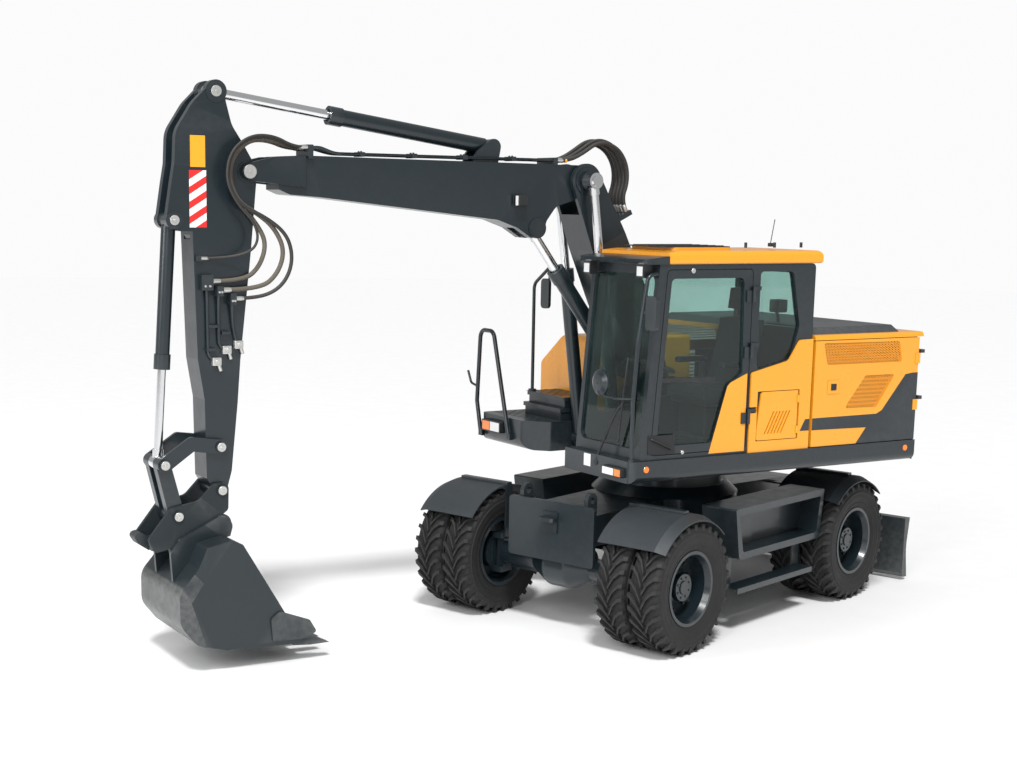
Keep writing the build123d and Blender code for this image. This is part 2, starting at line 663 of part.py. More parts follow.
blade_barrel = barrel(BLADE_CYL_BASE, BLADE_CYL_EYE, BLADE_CYL_Y, 44, 290, 48, BLADE_BARREL_EYE)
blade_rod = rod(BLADE_CYL_BASE, BLADE_CYL_EYE, BLADE_CYL_Y, 26, 230, 42, BLADE_ROD_EYE)
save("blade_cylinder_barrels", [rolled(s) for s in pair(blade_barrel)])
save("blade_cylinder_rods", [rolled(s) for s in pair(blade_rod)])
save("side_boxes", [rolled(side_box(side)) for side in (1, -1)])
save("chassis_frame", rolled(chassis_frame()))
save("lifting_eyes", [rolled(lifting_eye(y)) for y in (EYE_Y, -EYE_Y)])
save("front_axle", rolled(front_axle()))
save("rear_axle", rolled(axle(REAR_AXLE_X, hub_inner_y() - FIT, 1)))
save("rear_fenders", [rolled(s) for s in pair(fender(REAR_AXLE_X, 45, 135))])
save("dozer_blade", rolled(dozer_blade()))


# ---- upper structure -------------------------------------------------------
def deck():
    """Revolving platform with its turntable, boom bracket and cab floor."""
    plan = [
        (DECK_FRONT_X, DECK_HALF_W, 70),
        (DECK_REAR_X, DECK_HALF_W, 0),
        (DECK_REAR_X, -DECK_HALF_W, 0),
        (TANK_FRONT_X, -DECK_HALF_W, 0),
        (TANK_FRONT_X, -BAY_Y, 0),
        (BAY_FRONT_X, -BAY_Y, 0),
        (BAY_FRONT_X, BAY_Y, 0),
        (DECK_FRONT_X, BAY_Y, 0),
    ]
    section = [
        (-DECK_HALF_W, DECK_BOTTOM_Z, SKIRT_ROUND),
        (DECK_HALF_W, DECK_BOTTOM_Z, SKIRT_ROUND),
        (DECK_HALF_W, DECK_TOP_Z, 0),
        (-DECK_HALF_W, DECK_TOP_Z, 0),
    ]
    body = deck_slab(plan, DECK_BOTTOM_Z, DECK_TOP_Z) & cross_slab(section, DECK_REAR_X, DECK_FRONT_X)
    height = DECK_BOTTOM_Z - RING_TOP_Z - FIT
    body = body + Pos(0, 0, DECK_BOTTOM_Z - height / 2) * Cylinder(TURNTABLE_R, height)
    body = body + box(
        CAB_REAR_X + CAB_WALL + FIT,
        CAB_SILL[0] - CAB_WALL - FIT - 12,
        CAB_RIGHT_Y + CAB_WALL + FIT,
        CAB_LEFT_Y - CAB_WALL - FIT,
        DECK_TOP_Z,
        DECK_TOP_Z + FLOOR_T,
    )
    bracket = boom_bracket()
    return body + bracket + mirrored(bracket)


def boom_bracket():
    """Left cheek plate that carries the boom foot and a boom cylinder."""
    foot_x, foot_z = BOOM_FOOT
    cheek = slab(
        [
            (-520, DECK_TOP_Z - 100, 0),
            (BAY_FRONT_X - 20, DECK_TOP_Z - 100, 0),
            (BAY_FRONT_X + 40, DECK_TOP_Z - 120, 0),
            (BOOM_CYL_BASE[0] + 85, DECK_TOP_Z - 120, 50),
            (BOOM_CYL_BASE[0] + 85, DECK_TOP_Z + 40, 50),
            (480, DECK_TOP_Z + 130, 80),
            (foot_x + 120, foot_z + 115, 110),
            (foot_x - 125, foot_z + 115, 110),
            (-420, DECK_TOP_Z + 180, 80),
        ],
        BRACKET_IN,
        BRACKET_OUT,
    )
    cap = across(*BOOM_FOOT, CAP_R + 8, BRACKET_OUT, BRACKET_OUT + 12)
    boss = across(*BOOM_CYL_BASE, CAP_R, BRACKET_OUT, BOOM_CYL_Y - BOOM_EYE - FIT)
    return cheek + cap + boss


def counterweight():
    """Round tail with soft corners, its lower band standing proud."""
    depth = TAIL_R + DECK_REAR_X
    bow = (TAIL_HALF_W**2 + depth**2) / (2 * depth)

    def round_tail(inset, z0, z1):
        disc = Pos(bow - TAIL_R, 0, (z0 + z1) / 2) * Cylinder(bow - inset, z1 - z0)
        half = TAIL_HALF_W - inset
        plan = [
            (DECK_REAR_X - FIT, half, 0),
            (TAIL_CORNER_X, half, 0),
            (-TAIL_R, half - 420, 0),
            (-TAIL_R, -half + 420, 0),
            (TAIL_CORNER_X, -half, 0),
            (DECK_REAR_X - FIT, -half, 0),
        ]
        return disc & deck_slab(plan, z0, z1)

    lower = round_tail(0, DECK_BOTTOM_Z, TAIL_BAND_Z)
    upper = round_tail(TAIL_STEP, TAIL_BAND_Z - 1, TAIL_TOP_Z)
    side = slab(
        [
            (DECK_REAR_X, DECK_BOTTOM_Z, 0),
            (-TAIL_R, DECK_BOTTOM_Z, TAIL_ROUND),
            (-TAIL_R, TAIL_TOP_Z, TAIL_ROUND),
            (DECK_REAR_X, TAIL_TOP_Z, 0),
        ],
        -TAIL_HALF_W,
        TAIL_HALF_W,
    )
    shape = (lower + upper) & side
    for side_y in (-1, 1):
        for z in HOOD_HINGE_ZS:
            shape = shape + box(
                DECK_REAR_X - 45,
                DECK_REAR_X - 3,
                side_y * (min(TAIL_HALF_W, HOOD_Y) - 90),
                side_y * (HOOD_Y + 8 + HINGE_R),
                z + HOOD_HINGE_H / 2 + FIT,
                z + HOOD_HINGE_H / 2 + 30,
            )
    return shape


def grille(corners, y0, y1):
    """Slanted louvre bars that fill the opening through corners (x, z)."""
    (front, top), (rear, _), (rear_low, low), (front_low, _) = corners
    pitch = (top - low) / (GRILLE_BARS + 1)
    bars = []
    for i in range(GRILLE_BARS):
        z = low + pitch * (i + 1)
        share = (z - low) / (top - low)
        x0 = rear_low + (rear - rear_low) * share - 4
        x1 = front_low + (front - front_low) * share + 4
        bars.append(box(x0, x1, y0, y1, z - pitch * 0.2, z + pitch * 0.2))
    return bars


def hood_side(side):
    """Side door of the hood, with two barred grilles and its hinge knuckles."""
    rear, front = DECK_REAR_X + PANEL_GAP, HOOD_FRONT_X - PANEL_GAP
    low, top = DECK_TOP_Z + PANEL_GAP, HOOD_TOP_Z - HOOD_LID_T - PANEL_GAP
    panel = box(rear, front, HOOD_Y - HOOD_T, HOOD_Y, low, top)
    for corners in (GRILLE_UPPER, GRILLE_LOWER):
        panel = panel - slab([(x, z, 18) for x, z in corners], HOOD_Y - HOOD_T - 5, HOOD_Y + 5)
        for bar_shape in grille(corners, HOOD_Y - HOOD_T + 6, HOOD_Y - 12):
            panel = panel + bar_shape
    axis_x, axis_y = DECK_REAR_X + 6, HOOD_Y + 8
    for z in HOOD_HINGE_ZS:
        panel = panel + Pos(axis_x, axis_y, z) * Cylinder(HINGE_R, HOOD_HINGE_H)
        panel = panel + box(axis_x, axis_x + 40, HOOD_Y - 2, axis_y, z - HOOD_HINGE_H / 2, z + HOOD_HINGE_H / 2)
    return panel if side > 0 else mirrored(panel)


def hood_top():
    """Top of the hood on two posts, its side edges rounded, open over the engine."""
    low = HOOD_TOP_Z - HOOD_LID_T
    section = [
        (-HOOD_Y, low, 0),
        (HOOD_Y, low, 0),
        (HOOD_Y, HOOD_TOP_Z, HOOD_LID_T - 6),
        (-HOOD_Y, HOOD_TOP_Z, HOOD_LID_T - 6),
    ]
    shape = cross_slab(section, DECK_REAR_X - 40, HOOD_FRONT_X)
    y0, y1 = COVER_Y
    rim = COVER_WALL + 50
    shape = shape - box(
        COVER_REAR_X + rim, COVER_FRONT_X - rim, y0 + rim, y1 - rim, low - 5, HOOD_TOP_Z + 5
    )
    for side in (-1, 1):
        y = side * (HOOD_Y - HOOD_T - PANEL_GAP)
        inner = side * (HOOD_Y - HOOD_T - PANEL_GAP - HOOD_POST)
        shape = shape + box(HOOD_FRONT_X - HOOD_POST, HOOD_FRONT_X, inner, y, DECK_TOP_Z + FIT, low + 1)
    return shape


def engine_cover():
    """Hollow lid over the engine, sloped all round, hinged at its rear edge."""
    y0, y1 = COVER_Y
    low = HOOD_TOP_Z + FIT

    def lid(inset, top):
        side = slab(
            [
                (COVER_REAR_X + inset, low - inset, 0),
                (COVER_FRONT_X - inset, low - inset, 0),
                (COVER_FRONT_X - inset - 60, low + top, 0),
                (COVER_REAR_X + inset + 25, low + top, 0),
            ],
            y0 + inset,
            y1 - inset,
        )
        front = cross_slab(
            [
                (y0 + inset, low - inset, 0),
                (y1 - inset, low - inset, 0),
                (y1 - inset - 70, low + top, 0),
                (y0 + inset + 70, low + top, 0),
            ],
            COVER_REAR_X + inset,
            COVER_FRONT_X - inset,
        )
        return side & front

    shape = lid(0, COVER_T) - lid(COVER_WALL, COVER_T - COVER_WALL)
    for y in (y0 + 260, y1 - 260):
        shape = shape + across(COVER_REAR_X, low + HINGE_R + 1, HINGE_R, y - 50, y + 50)
    return shape


def engine_block():
    return box(-1500, -850, -700, 500, DECK_TOP_Z + FIT, 2150)


def right_body():
    """Tank housing on the right, its outer wall sloping in above the shoulder."""
    section = [
        (-HOOD_Y, DECK_TOP_Z + FIT, 0),
        (-HOOD_Y, TANK_EDGE_Z, 60),
        (-TANK_SLOPE_Y, TANK_TOP_Z, 60),
        (-TANK_IN_Y, TANK_TOP_Z, 30),
        (-TANK_IN_Y, DECK_TOP_Z + FIT, 0),
    ]
    side = slab(
        [
            (HOOD_FRONT_X + FIT, DECK_TOP_Z, 0),
            (TANK_FRONT_X, DECK_TOP_Z, 0),
            (TANK_FRONT_X, TANK_TOP_Z, 50),
            (HOOD_FRONT_X + FIT, TANK_TOP_Z, 0),
        ],
        -HOOD_Y,
        -TANK_IN_Y,
    )
    filler = Pos(TANK_FRONT_X - 260, -760, TANK_TOP_Z + 14) * Cylinder(62, 30)
    return (cross_slab(section, HOOD_FRONT_X + FIT, TANK_FRONT_X) & side) + filler


def right_steps():
    """Platform in front of the tank with two steps up to it."""
    rear = TANK_FRONT_X + FIT
    inner = -BAY_Y - FIT
    plan = [
        (rear, -RIGHT_OUT_Y, 0),
        (RIGHT_FRONT_X, -RIGHT_OUT_Y, 50),
        (RIGHT_FRONT_X, inner - RIGHT_CHAMFER, 40),
        (RIGHT_FRONT_X - RIGHT_CHAMFER, inner, 40),
        (rear, inner, 0),
    ]
    side = slab(
        [
            (rear, RIGHT_BOTTOM_Z, 0),
            (RIGHT_FRONT_X, RIGHT_BOTTOM_Z, 95),
            (RIGHT_FRONT_X, RIGHT_TOP_Z, 0),
            (rear, RIGHT_TOP_Z, 0),
        ],
        -RIGHT_OUT_Y,
        inner,
    )
    shape = deck_slab(plan, RIGHT_BOTTOM_Z, RIGHT_TOP_Z) & side
    y0, y1 = STEP_Y_RANGE
    below = RIGHT_TOP_Z - 1
    for front, top in zip(STEP_FRONTS, STEP_TOPS):
        tread = top - 34
        shape = shape + box(rear, front - 22, y0 + 12, y1 - 12, below, tread + 1)
        shape = shape + deck_slab([(rear, y0, 0), (front, y0, 18), (front, y1, 18), (rear, y1, 0)], tread, top)
        below = top - 1
    return shape


def tube(points, radius, bend):
    """Bent round tube through points."""
    path = FilletPolyline(*points, radius=bend)
    start = Plane(origin=path @ 0, z_dir=path % 0)
    return sweep(start * Circle(radius), path=path)


def dish(x, y, z, radius):
    """Round mirror that faces the rear, its back domed."""
    rows = [(0, -14, 0), (radius, -14, 0), (radius, 4, 0), (radius * 0.6, 26, 0), (0, 30, 0)]
    section = outline(rows, lambda r, v: Vector(x + v, y + r, z))
    return revolve(section, Axis((x, y, z), (1, 0, 0)), 360)


def right_rail():
    """Hand rail over the right platform with a round mirror on its outer leg."""
    x = RIGHT_FRONT_X + RAIL_R + 6
    rail = tube(
        [
            (x, -1146, RIGHT_BOTTOM_Z + 65),
            (x, -1222, 1700),
            (x, -1178, RAIL_TOP_Z),
            (x, -960, RAIL_TOP_Z),
            (x, -674, RIGHT_BOTTOM_Z + 85),
        ],
        RAIL_R,
        78,
    )
    for y, z in ((-1146, RIGHT_BOTTOM_Z + 75), (-676, RIGHT_BOTTOM_Z + 95)):
        rail = rail + box(RIGHT_FRONT_X + FIT, x + 8, y - 30, y + 30, z - 28, z + 28)
    arm = tube([(x, -1216, 1830), (x, -1330, 1850), (x + 10, -1372, 1960)], 11, 40)
    return rail + arm + dish(x + 22, -1372, 1960, MIRROR_R)


def tall_mirror():
    """Bent post on the upper step that carries the cross-view mirror."""
    x = STEP_FRONTS[1] - 35
    base_z = STEP_TOPS[1] + FIT
    post = tube([(x, -897, base_z + 8), (x, -905, 2760), (x, -665, 2915)], 15, 90)
    foot = Pos(x, -897, base_z + 9) * Cylinder(36, 18)
    hanger = Pos(x, -668, 2785) * Cylinder(8, 250)
    link = box(x - 6, x + 34, -676, -660, 2680, 2696)
    rows = [(-62, -130, 40), (62, -130, 40), (62, 130, 40), (-62, 130, 40)]
    plate = extrude(outline(rows, lambda y, z: Vector(x + 30, -650 + y, 2690 + z)), amount=26, dir=(1, 0, 0))
    return post + foot + hanger + link + plate


def cab_rail():
    """Grab rail in front of the left pillar, with its two mirrors."""
    rail = tube(
        [
            (CAB_BROW[0] + 8, CAB_LEFT_Y - 20, CAB_EAVES_Z - 75),
            (1160, CAB_LEFT_Y - 20, CAB_EAVES_Z - 78),
            (1232, CAB_LEFT_Y - 20, 2430),
            (1262, CAB_LEFT_Y - 22, 1960),
            (1255, CAB_LEFT_Y - 26, DECK_TOP_Z + 12),
        ],
        16,
        60,
    )
    foot = Pos(1255, CAB_LEFT_Y - 26, DECK_TOP_Z + FIT + 8) * Cylinder(26, 16)
    round_arm = tube([(1262, CAB_LEFT_Y - 22, 1985), (1320, 1060, 1975), (1330, 900, 1985), (1330, 868, 2075)], 11, 45)
    square_arm = box(1180, 1206, CAB_LEFT_Y - 20, CAB_LEFT_Y + 60, 2640, 2662)
    rows = [(-66, -130, 26), (66, -130, 26), (66, 130, 26), (-66, 130, 26)]
    plate = extrude(
        outline(rows, lambda y, z: Vector(1172, CAB_LEFT_Y + 86 + y, 2650 + z)), amount=34, dir=(1, 0, 0)
    )
    return rail + foot + round_arm + dish(1345, 868, 2085, MIRROR_R - 8) + square_arm + plate


# ---- cab -------------------------------------------------------------------
def windscreen_x(z, inset):
    """Front face of the cab at height z, moved back by inset."""
    (foot_x, foot_z), (brow_x, brow_z) = CAB_SILL, CAB_BROW
    return foot_x + (brow_x - foot_x) * (z - foot_z) / (brow_z - foot_z) - inset


def front_band(front_inset, rear_inset, y0, y1):
    """Slanted slab behind the windscreen plane, from the deck to the eaves."""
    low, top = DECK_TOP_Z + FIT, CAB_EAVES_Z
    return slab(
        [
            (windscreen_x(low, rear_inset), low, 0),
            (windscreen_x(low, front_inset), low, 0),
            (windscreen_x(top, front_inset), top, 0),
            (windscreen_x(top, rear_inset), top, 0),
        ],
        y0,
        y1,
    )


def cab_wall(y0, y1):
    """Whole side wall behind the front frame."""
    low, top = DECK_TOP_Z + FIT, CAB_EAVES_Z
    return slab(
        [
            (CAB_REAR_X, low, 0),
            (windscreen_x(low, CAB_WALL + 2 * FIT), low, 0),
            (windscreen_x(top, CAB_WALL + 2 * FIT), top, 0),
            (CAB_REAR_X, top, 40),
        ],
        y0,
        y1,
    )


def shrunk(corners, inset):
    """Outline moved in towards its middle by inset on every side."""
    count = len(corners)
    moved = []
    for i, (x, z, radius) in enumerate(corners):
        ahead = Vector(*corners[(i + 1) % count][:2]) - Vector(x, z)
        behind = Vector(x, z) - Vector(*corners[i - 1][:2])
        normals = [Vector(-v.Y, v.X).normalized() for v in (behind, ahead)]
        bend = normals[0] + normals[1]
        step = bend * (inset / bend.dot(normals[0]))
        moved.append((x + step.X, z + step.Y, max(radius - inset, 0) if radius else 0))
    return moved


def door_outline():
    sill, head = DECK_TOP_Z + DOOR_SILL_RISE, CAB_EAVES_Z - DOOR_HEAD_DROP
    return [
        (B_PILLAR_X, sill, 30),
        (DOOR_FRONT[0], sill, 30),
        (DOOR_FRONT[1], head, 30),
        (B_PILLAR_X, head, 30),
    ]


def cab_left():
    """Left wall: doorway, rear window, flap pocket and the door's hinge blocks."""
    y0, y1 = CAB_LEFT_Y - CAB_WALL, CAB_LEFT_Y
    wall = cab_wall(y0, y1)
    wall = wall - slab(shrunk(door_outline(), -PANEL_GAP), y0 - 10, y1 + 10)
    wall = wall - slab(REAR_SIDE_WINDOW, y0 - 10, y1 + 10)
    rim = 26
    pocket = [
        (FLAP_REAR_X + rim, FLAP_BOTTOM_Z + rim, 20),
        (FLAP_FRONT_X - rim, FLAP_BOTTOM_Z + rim, 20),
        (FLAP_FRONT_X - rim, FLAP_TOP_Z - rim, 20),
        (FLAP_REAR_X + rim, FLAP_TOP_Z - rim, 20),
    ]
    wall = wall - slab(pocket, y1 - 32, y1 + 10)
    for z in DOOR_HINGE_ZS:
        low = z + DOOR_HINGE_H / 2 + FIT
        block = box(62, B_PILLAR_X - 6, y1 - 3, DOOR_AXIS_Y, low, low + 30)
        pin = Pos(DOOR_AXIS_X, DOOR_AXIS_Y, low + 15) * Cylinder(DOOR_PIN_R, 30)
        wall = wall + block + pin
    return wall


def cab_door():
    """Door leaf with its window and the three hinge knuckles."""
    y0, y1 = CAB_LEFT_Y - DOOR_T, CAB_LEFT_Y
    leaf = slab(door_outline(), y0, y1) - slab(DOOR_WINDOW, y0 - 10, y1 + 10)
    for z in DOOR_HINGE_ZS:
        knuckle_shape = Pos(DOOR_AXIS_X, DOOR_AXIS_Y, z) * Cylinder(DOOR_PIN_R, DOOR_HINGE_H)
        leaf = leaf + knuckle_shape
        leaf = leaf + box(DOOR_AXIS_X, 200, y1 - 3, y1 + 12, z - DOOR_HINGE_H / 2, z + DOOR_HINGE_H / 2)
    return leaf


def cab_right():
    y0, y1 = CAB_RIGHT_Y, CAB_RIGHT_Y + CAB_WALL
    return cab_wall(y0, y1) - slab(RIGHT_WINDOW, y0 - 10, y1 + 10)


def inner_width(gap):
    """Clear span between the cab's side walls, less a gap at each."""
    return CAB_RIGHT_Y + CAB_WALL + gap, CAB_LEFT_Y - CAB_WALL - gap


def cross_window(border, low, top, radius, gap):
    """Window outline (y, z, radius) between the side walls."""
    y0, y1 = CAB_RIGHT_Y + border + gap, CAB_LEFT_Y - border - gap
    return [
        (y0, low + gap, radius),
        (y1, low + gap, radius),
        (y1, top - gap, radius),
        (y0, top - gap, radius),
    ]


def cab_rear():
    y0, y1 = inner_width(FIT)
    wall = box(CAB_REAR_X, CAB_REAR_X + CAB_WALL, y0, y1, DECK_TOP_Z + FIT, CAB_EAVES_Z)
    opening = cross_window(REAR_BORDER, *REAR_WINDOW_ZS, 60, 0)
    return wall - cross_slab(opening, CAB_REAR_X - 10, CAB_REAR_X + CAB_WALL + 10)


def cab_front():
    """Front frame round the windscreen, with the visor over it."""
    frame = front_band(0, CAB_WALL, CAB_RIGHT_Y, CAB_LEFT_Y)
    opening = cross_window(SCREEN_BORDER, *SCREEN_ZS, 70, 0)
    frame = frame - cross_slab(opening, 900, 1300)
    y0, y1 = CAB_RIGHT_Y + 2, CAB_LEFT_Y + ROOF_OVER
    brow = CAB_EAVES_Z
    visor = slab(
        [
            (windscreen_x(brow, CAB_WALL), brow, 0),
            (VISOR_FRONT_X - 30, brow, 0),
            (VISOR_FRONT_X, brow + 14, 0),
            (VISOR_FRONT_X - 16, brow + 14 + VISOR_T, 0),
            (ROOF_FRONT_X + 30, brow + 62, 0),
            (ROOF_FRONT_X + FIT, brow + 62, 0),
            (ROOF_FRONT_X + FIT, brow, 0),
        ],
        y0,
        y1,
    )
    plan = [(900, y0, 0), (VISOR_FRONT_X, y0, 60), (VISOR_FRONT_X, y1, 60), (900, y1, 0)]
    return frame + (visor & deck_slab(plan, brow - 1, brow + 120))


def cab_roof():
    """Thick rounded roof with a raised hatch."""
    y0, y1 = CAB_RIGHT_Y + 2, CAB_LEFT_Y + ROOF_OVER
    z0, z1 = CAB_EAVES_Z + FIT, CAB_TOP_Z - HATCH_RISE
    section = [(y0, z0, 0), (y1, z0, 20), (y1, z1, ROOF_ROUND), (y0, z1, ROOF_ROUND)]
    side = [
        (ROOF_REAR_X, z0, 20),
        (ROOF_FRONT_X, z0, 0),
        (ROOF_FRONT_X, z1 - 14, 0),
        (ROOF_FRONT_X - 120, z1, 0),
        (ROOF_REAR_X, z1, ROOF_ROUND),
    ]
    top = cross_slab(section, ROOF_REAR_X, ROOF_FRONT_X) & slab(side, y0, y1)
    x0, x1 = HATCH
    mid = (CAB_LEFT_Y + CAB_RIGHT_Y) / 2
    hatch = [(x0, mid - 290, 50), (x1, mid - 290, 50), (x1, mid + 290, 50), (x0, mid + 290, 50)]
    return top + deck_slab(hatch, z1 - 10, z1 + HATCH_RISE)


def cab_glass():
    """Panes of the fixed windows, one in each opening."""
    screen = cross_window(SCREEN_BORDER, *SCREEN_ZS, 70, FIT)
    front = front_band(GLASS_IN, GLASS_IN + GLASS_T, CAB_RIGHT_Y, CAB_LEFT_Y) & cross_slab(screen, 900, 1300)
    x = CAB_REAR_X + GLASS_IN
    rear = cross_slab(cross_window(REAR_BORDER, *REAR_WINDOW_ZS, 60, FIT), x, x + GLASS_T)
    y = CAB_LEFT_Y - GLASS_IN
    left = slab(shrunk(REAR_SIDE_WINDOW, FIT), y - GLASS_T, y)
    y = CAB_RIGHT_Y + GLASS_IN
    right = slab(shrunk(RIGHT_WINDOW, FIT), y, y + GLASS_T)
    return [front, rear, left, right]


def door_glass():
    y = CAB_LEFT_Y - GLASS_IN
    return slab(shrunk(DOOR_WINDOW, FIT), y - GLASS_T, y)


def quarter_panel():
    """Yellow panel on the cab's side, open round the service flap."""
    y0, y1 = CAB_LEFT_Y + FIT, CAB_LEFT_Y + PANEL_T
    front = B_PILLAR_X - 22
    panel = slab(
        [
            (CAB_REAR_X, DECK_TOP_Z + FIT, 0),
            (front, DECK_TOP_Z + FIT, 0),
            (front, 2146, 30),
            (-268, 2231, 60),
            (-376, 2395, 40),
            (CAB_REAR_X, 2400, 0),
        ],
        y0,
        y1,
    )
    panel = panel - box(
        FLAP_REAR_X - PANEL_GAP - 12,
        FLAP_FRONT_X + PANEL_GAP,
        y0 - 5,
        y1 + 5,
        FLAP_BOTTOM_Z - PANEL_GAP,
        FLAP_TOP_Z + PANEL_GAP,
    )
    low = DOOR_HINGE_ZS[0]
    return panel - box(50, 140, y0 - 5, y1 + 5, low + DOOR_HINGE_H / 2 - 8, low + DOOR_HINGE_H / 2 + 42)


def service_flap():
    """Louvred flap in the quarter panel, hinged at its rear edge."""
    y0, y1 = CAB_LEFT_Y + FIT, CAB_LEFT_Y + PANEL_T
    leaf = slab(
        [
            (FLAP_REAR_X, FLAP_BOTTOM_Z, 0),
            (FLAP_FRONT_X + 8, FLAP_BOTTOM_Z, 24),
            (FLAP_FRONT_X - 34, FLAP_TOP_Z, 24),
            (FLAP_REAR_X, FLAP_TOP_Z, 0),
        ],
        y0,
        y1,
    ) & box(FLAP_REAR_X, FLAP_FRONT_X, y0, y1, FLAP_BOTTOM_Z, FLAP_TOP_Z)
    for i in range(LOUVRES):
        x = -222 + i * 34
        leaf = leaf - slab([(x, 1640, 0), (x + 15, 1640, 0), (x - 75, 1820, 0), (x - 90, 1820, 0)], y0 - 5, y1 + 5)
    for z in (FLAP_BOTTOM_Z + 70, FLAP_TOP_Z - 70):
        leaf = leaf + Pos(FLAP_REAR_X, y1 + 6, z) * Cylinder(HINGE_R, 60)
    return leaf


def seat():
    """Seat with its suspension box, arm rests and head rest."""
    floor = DECK_TOP_Z + FLOOR_T + FIT
    half = SEAT_W / 2
    side = [
        (SEAT_X - 260, SEAT_TOP_Z - 120, 60),
        (SEAT_X + 260, SEAT_TOP_Z - 120, 40),
        (SEAT_X + 270, SEAT_TOP_Z, 55),
        (SEAT_X - 130, SEAT_TOP_Z - 30, 40),
        (SEAT_X - 240, SEAT_TOP_Z + 560, 50),
        (SEAT_X - 350, SEAT_TOP_Z + 540, 50),
    ]
    cushion = slab(side, SEAT_Y - half, SEAT_Y + half)
    base = box(SEAT_X - 200, SEAT_X + 210, SEAT_Y - 200, SEAT_Y + 200, floor, SEAT_TOP_Z - 119)
    head = slab(
        [
            (SEAT_X - 345, SEAT_TOP_Z + 590, 35),
            (SEAT_X - 255, SEAT_TOP_Z + 590, 35),
            (SEAT_X - 280, SEAT_TOP_Z + 790, 40),
            (SEAT_X - 365, SEAT_TOP_Z + 790, 40),
        ],
        SEAT_Y - 150,
        SEAT_Y + 150,
    )
    shape = cushion + base + head
    for side_y in (-1, 1):
        y = SEAT_Y + side_y * 60
        shape = shape + box(SEAT_X - 312, SEAT_X - 292, y - 8, y + 8, SEAT_TOP_Z + 520, SEAT_TOP_Z + 600)
        y0 = SEAT_Y + side_y * (half - 5)
        y1 = SEAT_Y + side_y * (half + 70)
        shape = shape + box(SEAT_X - 150, SEAT_X + 130, y0, y1, SEAT_TOP_Z + 150, SEAT_TOP_Z + 200)
        shape = shape + box(SEAT_X - 190, SEAT_X - 130, y0, y1, SEAT_TOP_Z - 40, SEAT_TOP_Z + 180)
    return shape


def console():
    """Steering column with its wheel."""
    floor = DECK_TOP_Z + FLOOR_T + FIT
    x, z = STEERING
    column = slab([(x + 50, floor, 0), (x + 150, floor, 0), (x + 30, z - 30, 0), (x - 40, z - 30, 0)], SEAT_Y - 50, SEAT_Y + 50)
    place = Pos(x, SEAT_Y, z) * Rot(0, -18, 0)
    rows = [(159, 0, 0), (167, -14, 0), (183, -14, 0), (191, 0, 0), (183, 14, 0), (167, 14, 0)]
    rim = revolve(outline(rows, lambda r, v: Vector(r, 0, v)), Axis.Z, 360)
    spokes = Box(340, 40, 14) + Box(40, 340, 14) + Cylinder(50, 90)
    return column + place * rim + place * spokes


def lamps():
    """Lamp units: two on the bumpers, two under the visor."""
    z = CAB_EAVES_Z - FIT
    x = DECK_FRONT_X + FIT
    left = cross_slab([(888, 1358, 14), (1152, 1358, 14), (1152, 1434, 14), (888, 1434, 14)], x, x + 34)
    x = RIGHT_FRONT_X + FIT
    right = cross_slab([(-1096, 1452, 14), (-786, 1452, 14), (-786, 1552, 14), (-1096, 1552, 14)], x, x + 48)
    shapes = [left, right]
    for y in (CAB_RIGHT_Y + 75, CAB_LEFT_Y - 105):
        body = slab([(1105, z - 105, 16), (1178, z - 105, 16), (1178, z, 0), (1105, z, 0)], y - 48, y + 48)
        shapes.append(body)
    return shapes


for hand, side in (("left", 1), ("right", -1)):
    save("hood_side_" + hand, hood_side(side))
save("deck", deck())
save("counterweight", counterweight())
save("hood_top", hood_top())
save("engine_cover", engine_cover())
save("engine_block", engine_block())
save("right_body", right_body())
save("right_steps", right_steps())
save("rails_and_mirrors", [right_rail(), tall_mirror(), cab_rail()])
save("cab_left", cab_left())
save("cab_right", cab_right())
save("cab_rear", cab_rear())
save("cab_front", cab_front())
save("cab_roof", cab_roof())
save("cab_door", cab_door())
save("cab_glass", cab_glass())
save("door_glass", door_glass())
save("quarter_panel", quarter_panel())
save("service_flap", service_flap())
save("seat", seat())
save("console", console())
save("lamps", lamps())


# ---- working gear ----------------------------------------------------------
def along_boom(s, t):
    """Point of the lower boom: s up from the foot, t towards its front."""
    span = hypot(KNUCKLE[0] - BOOM_FOOT[0], KNUCKLE[1] - BOOM_FOOT[1])
    ux, uz = (KNUCKLE[0] - BOOM_FOOT[0]) / span, (KNUCKLE[1] - BOOM_FOOT[1]) / span
    return (BOOM_FOOT[0] + s * ux + t * uz, BOOM_FOOT[1] + s * uz - t * ux)


def sided(shape_of, inner, outer):
    """The same piece on both sides, between inner and outer from the centre plane."""
    return shape_of(inner, outer) + shape_of(-outer, -inner)


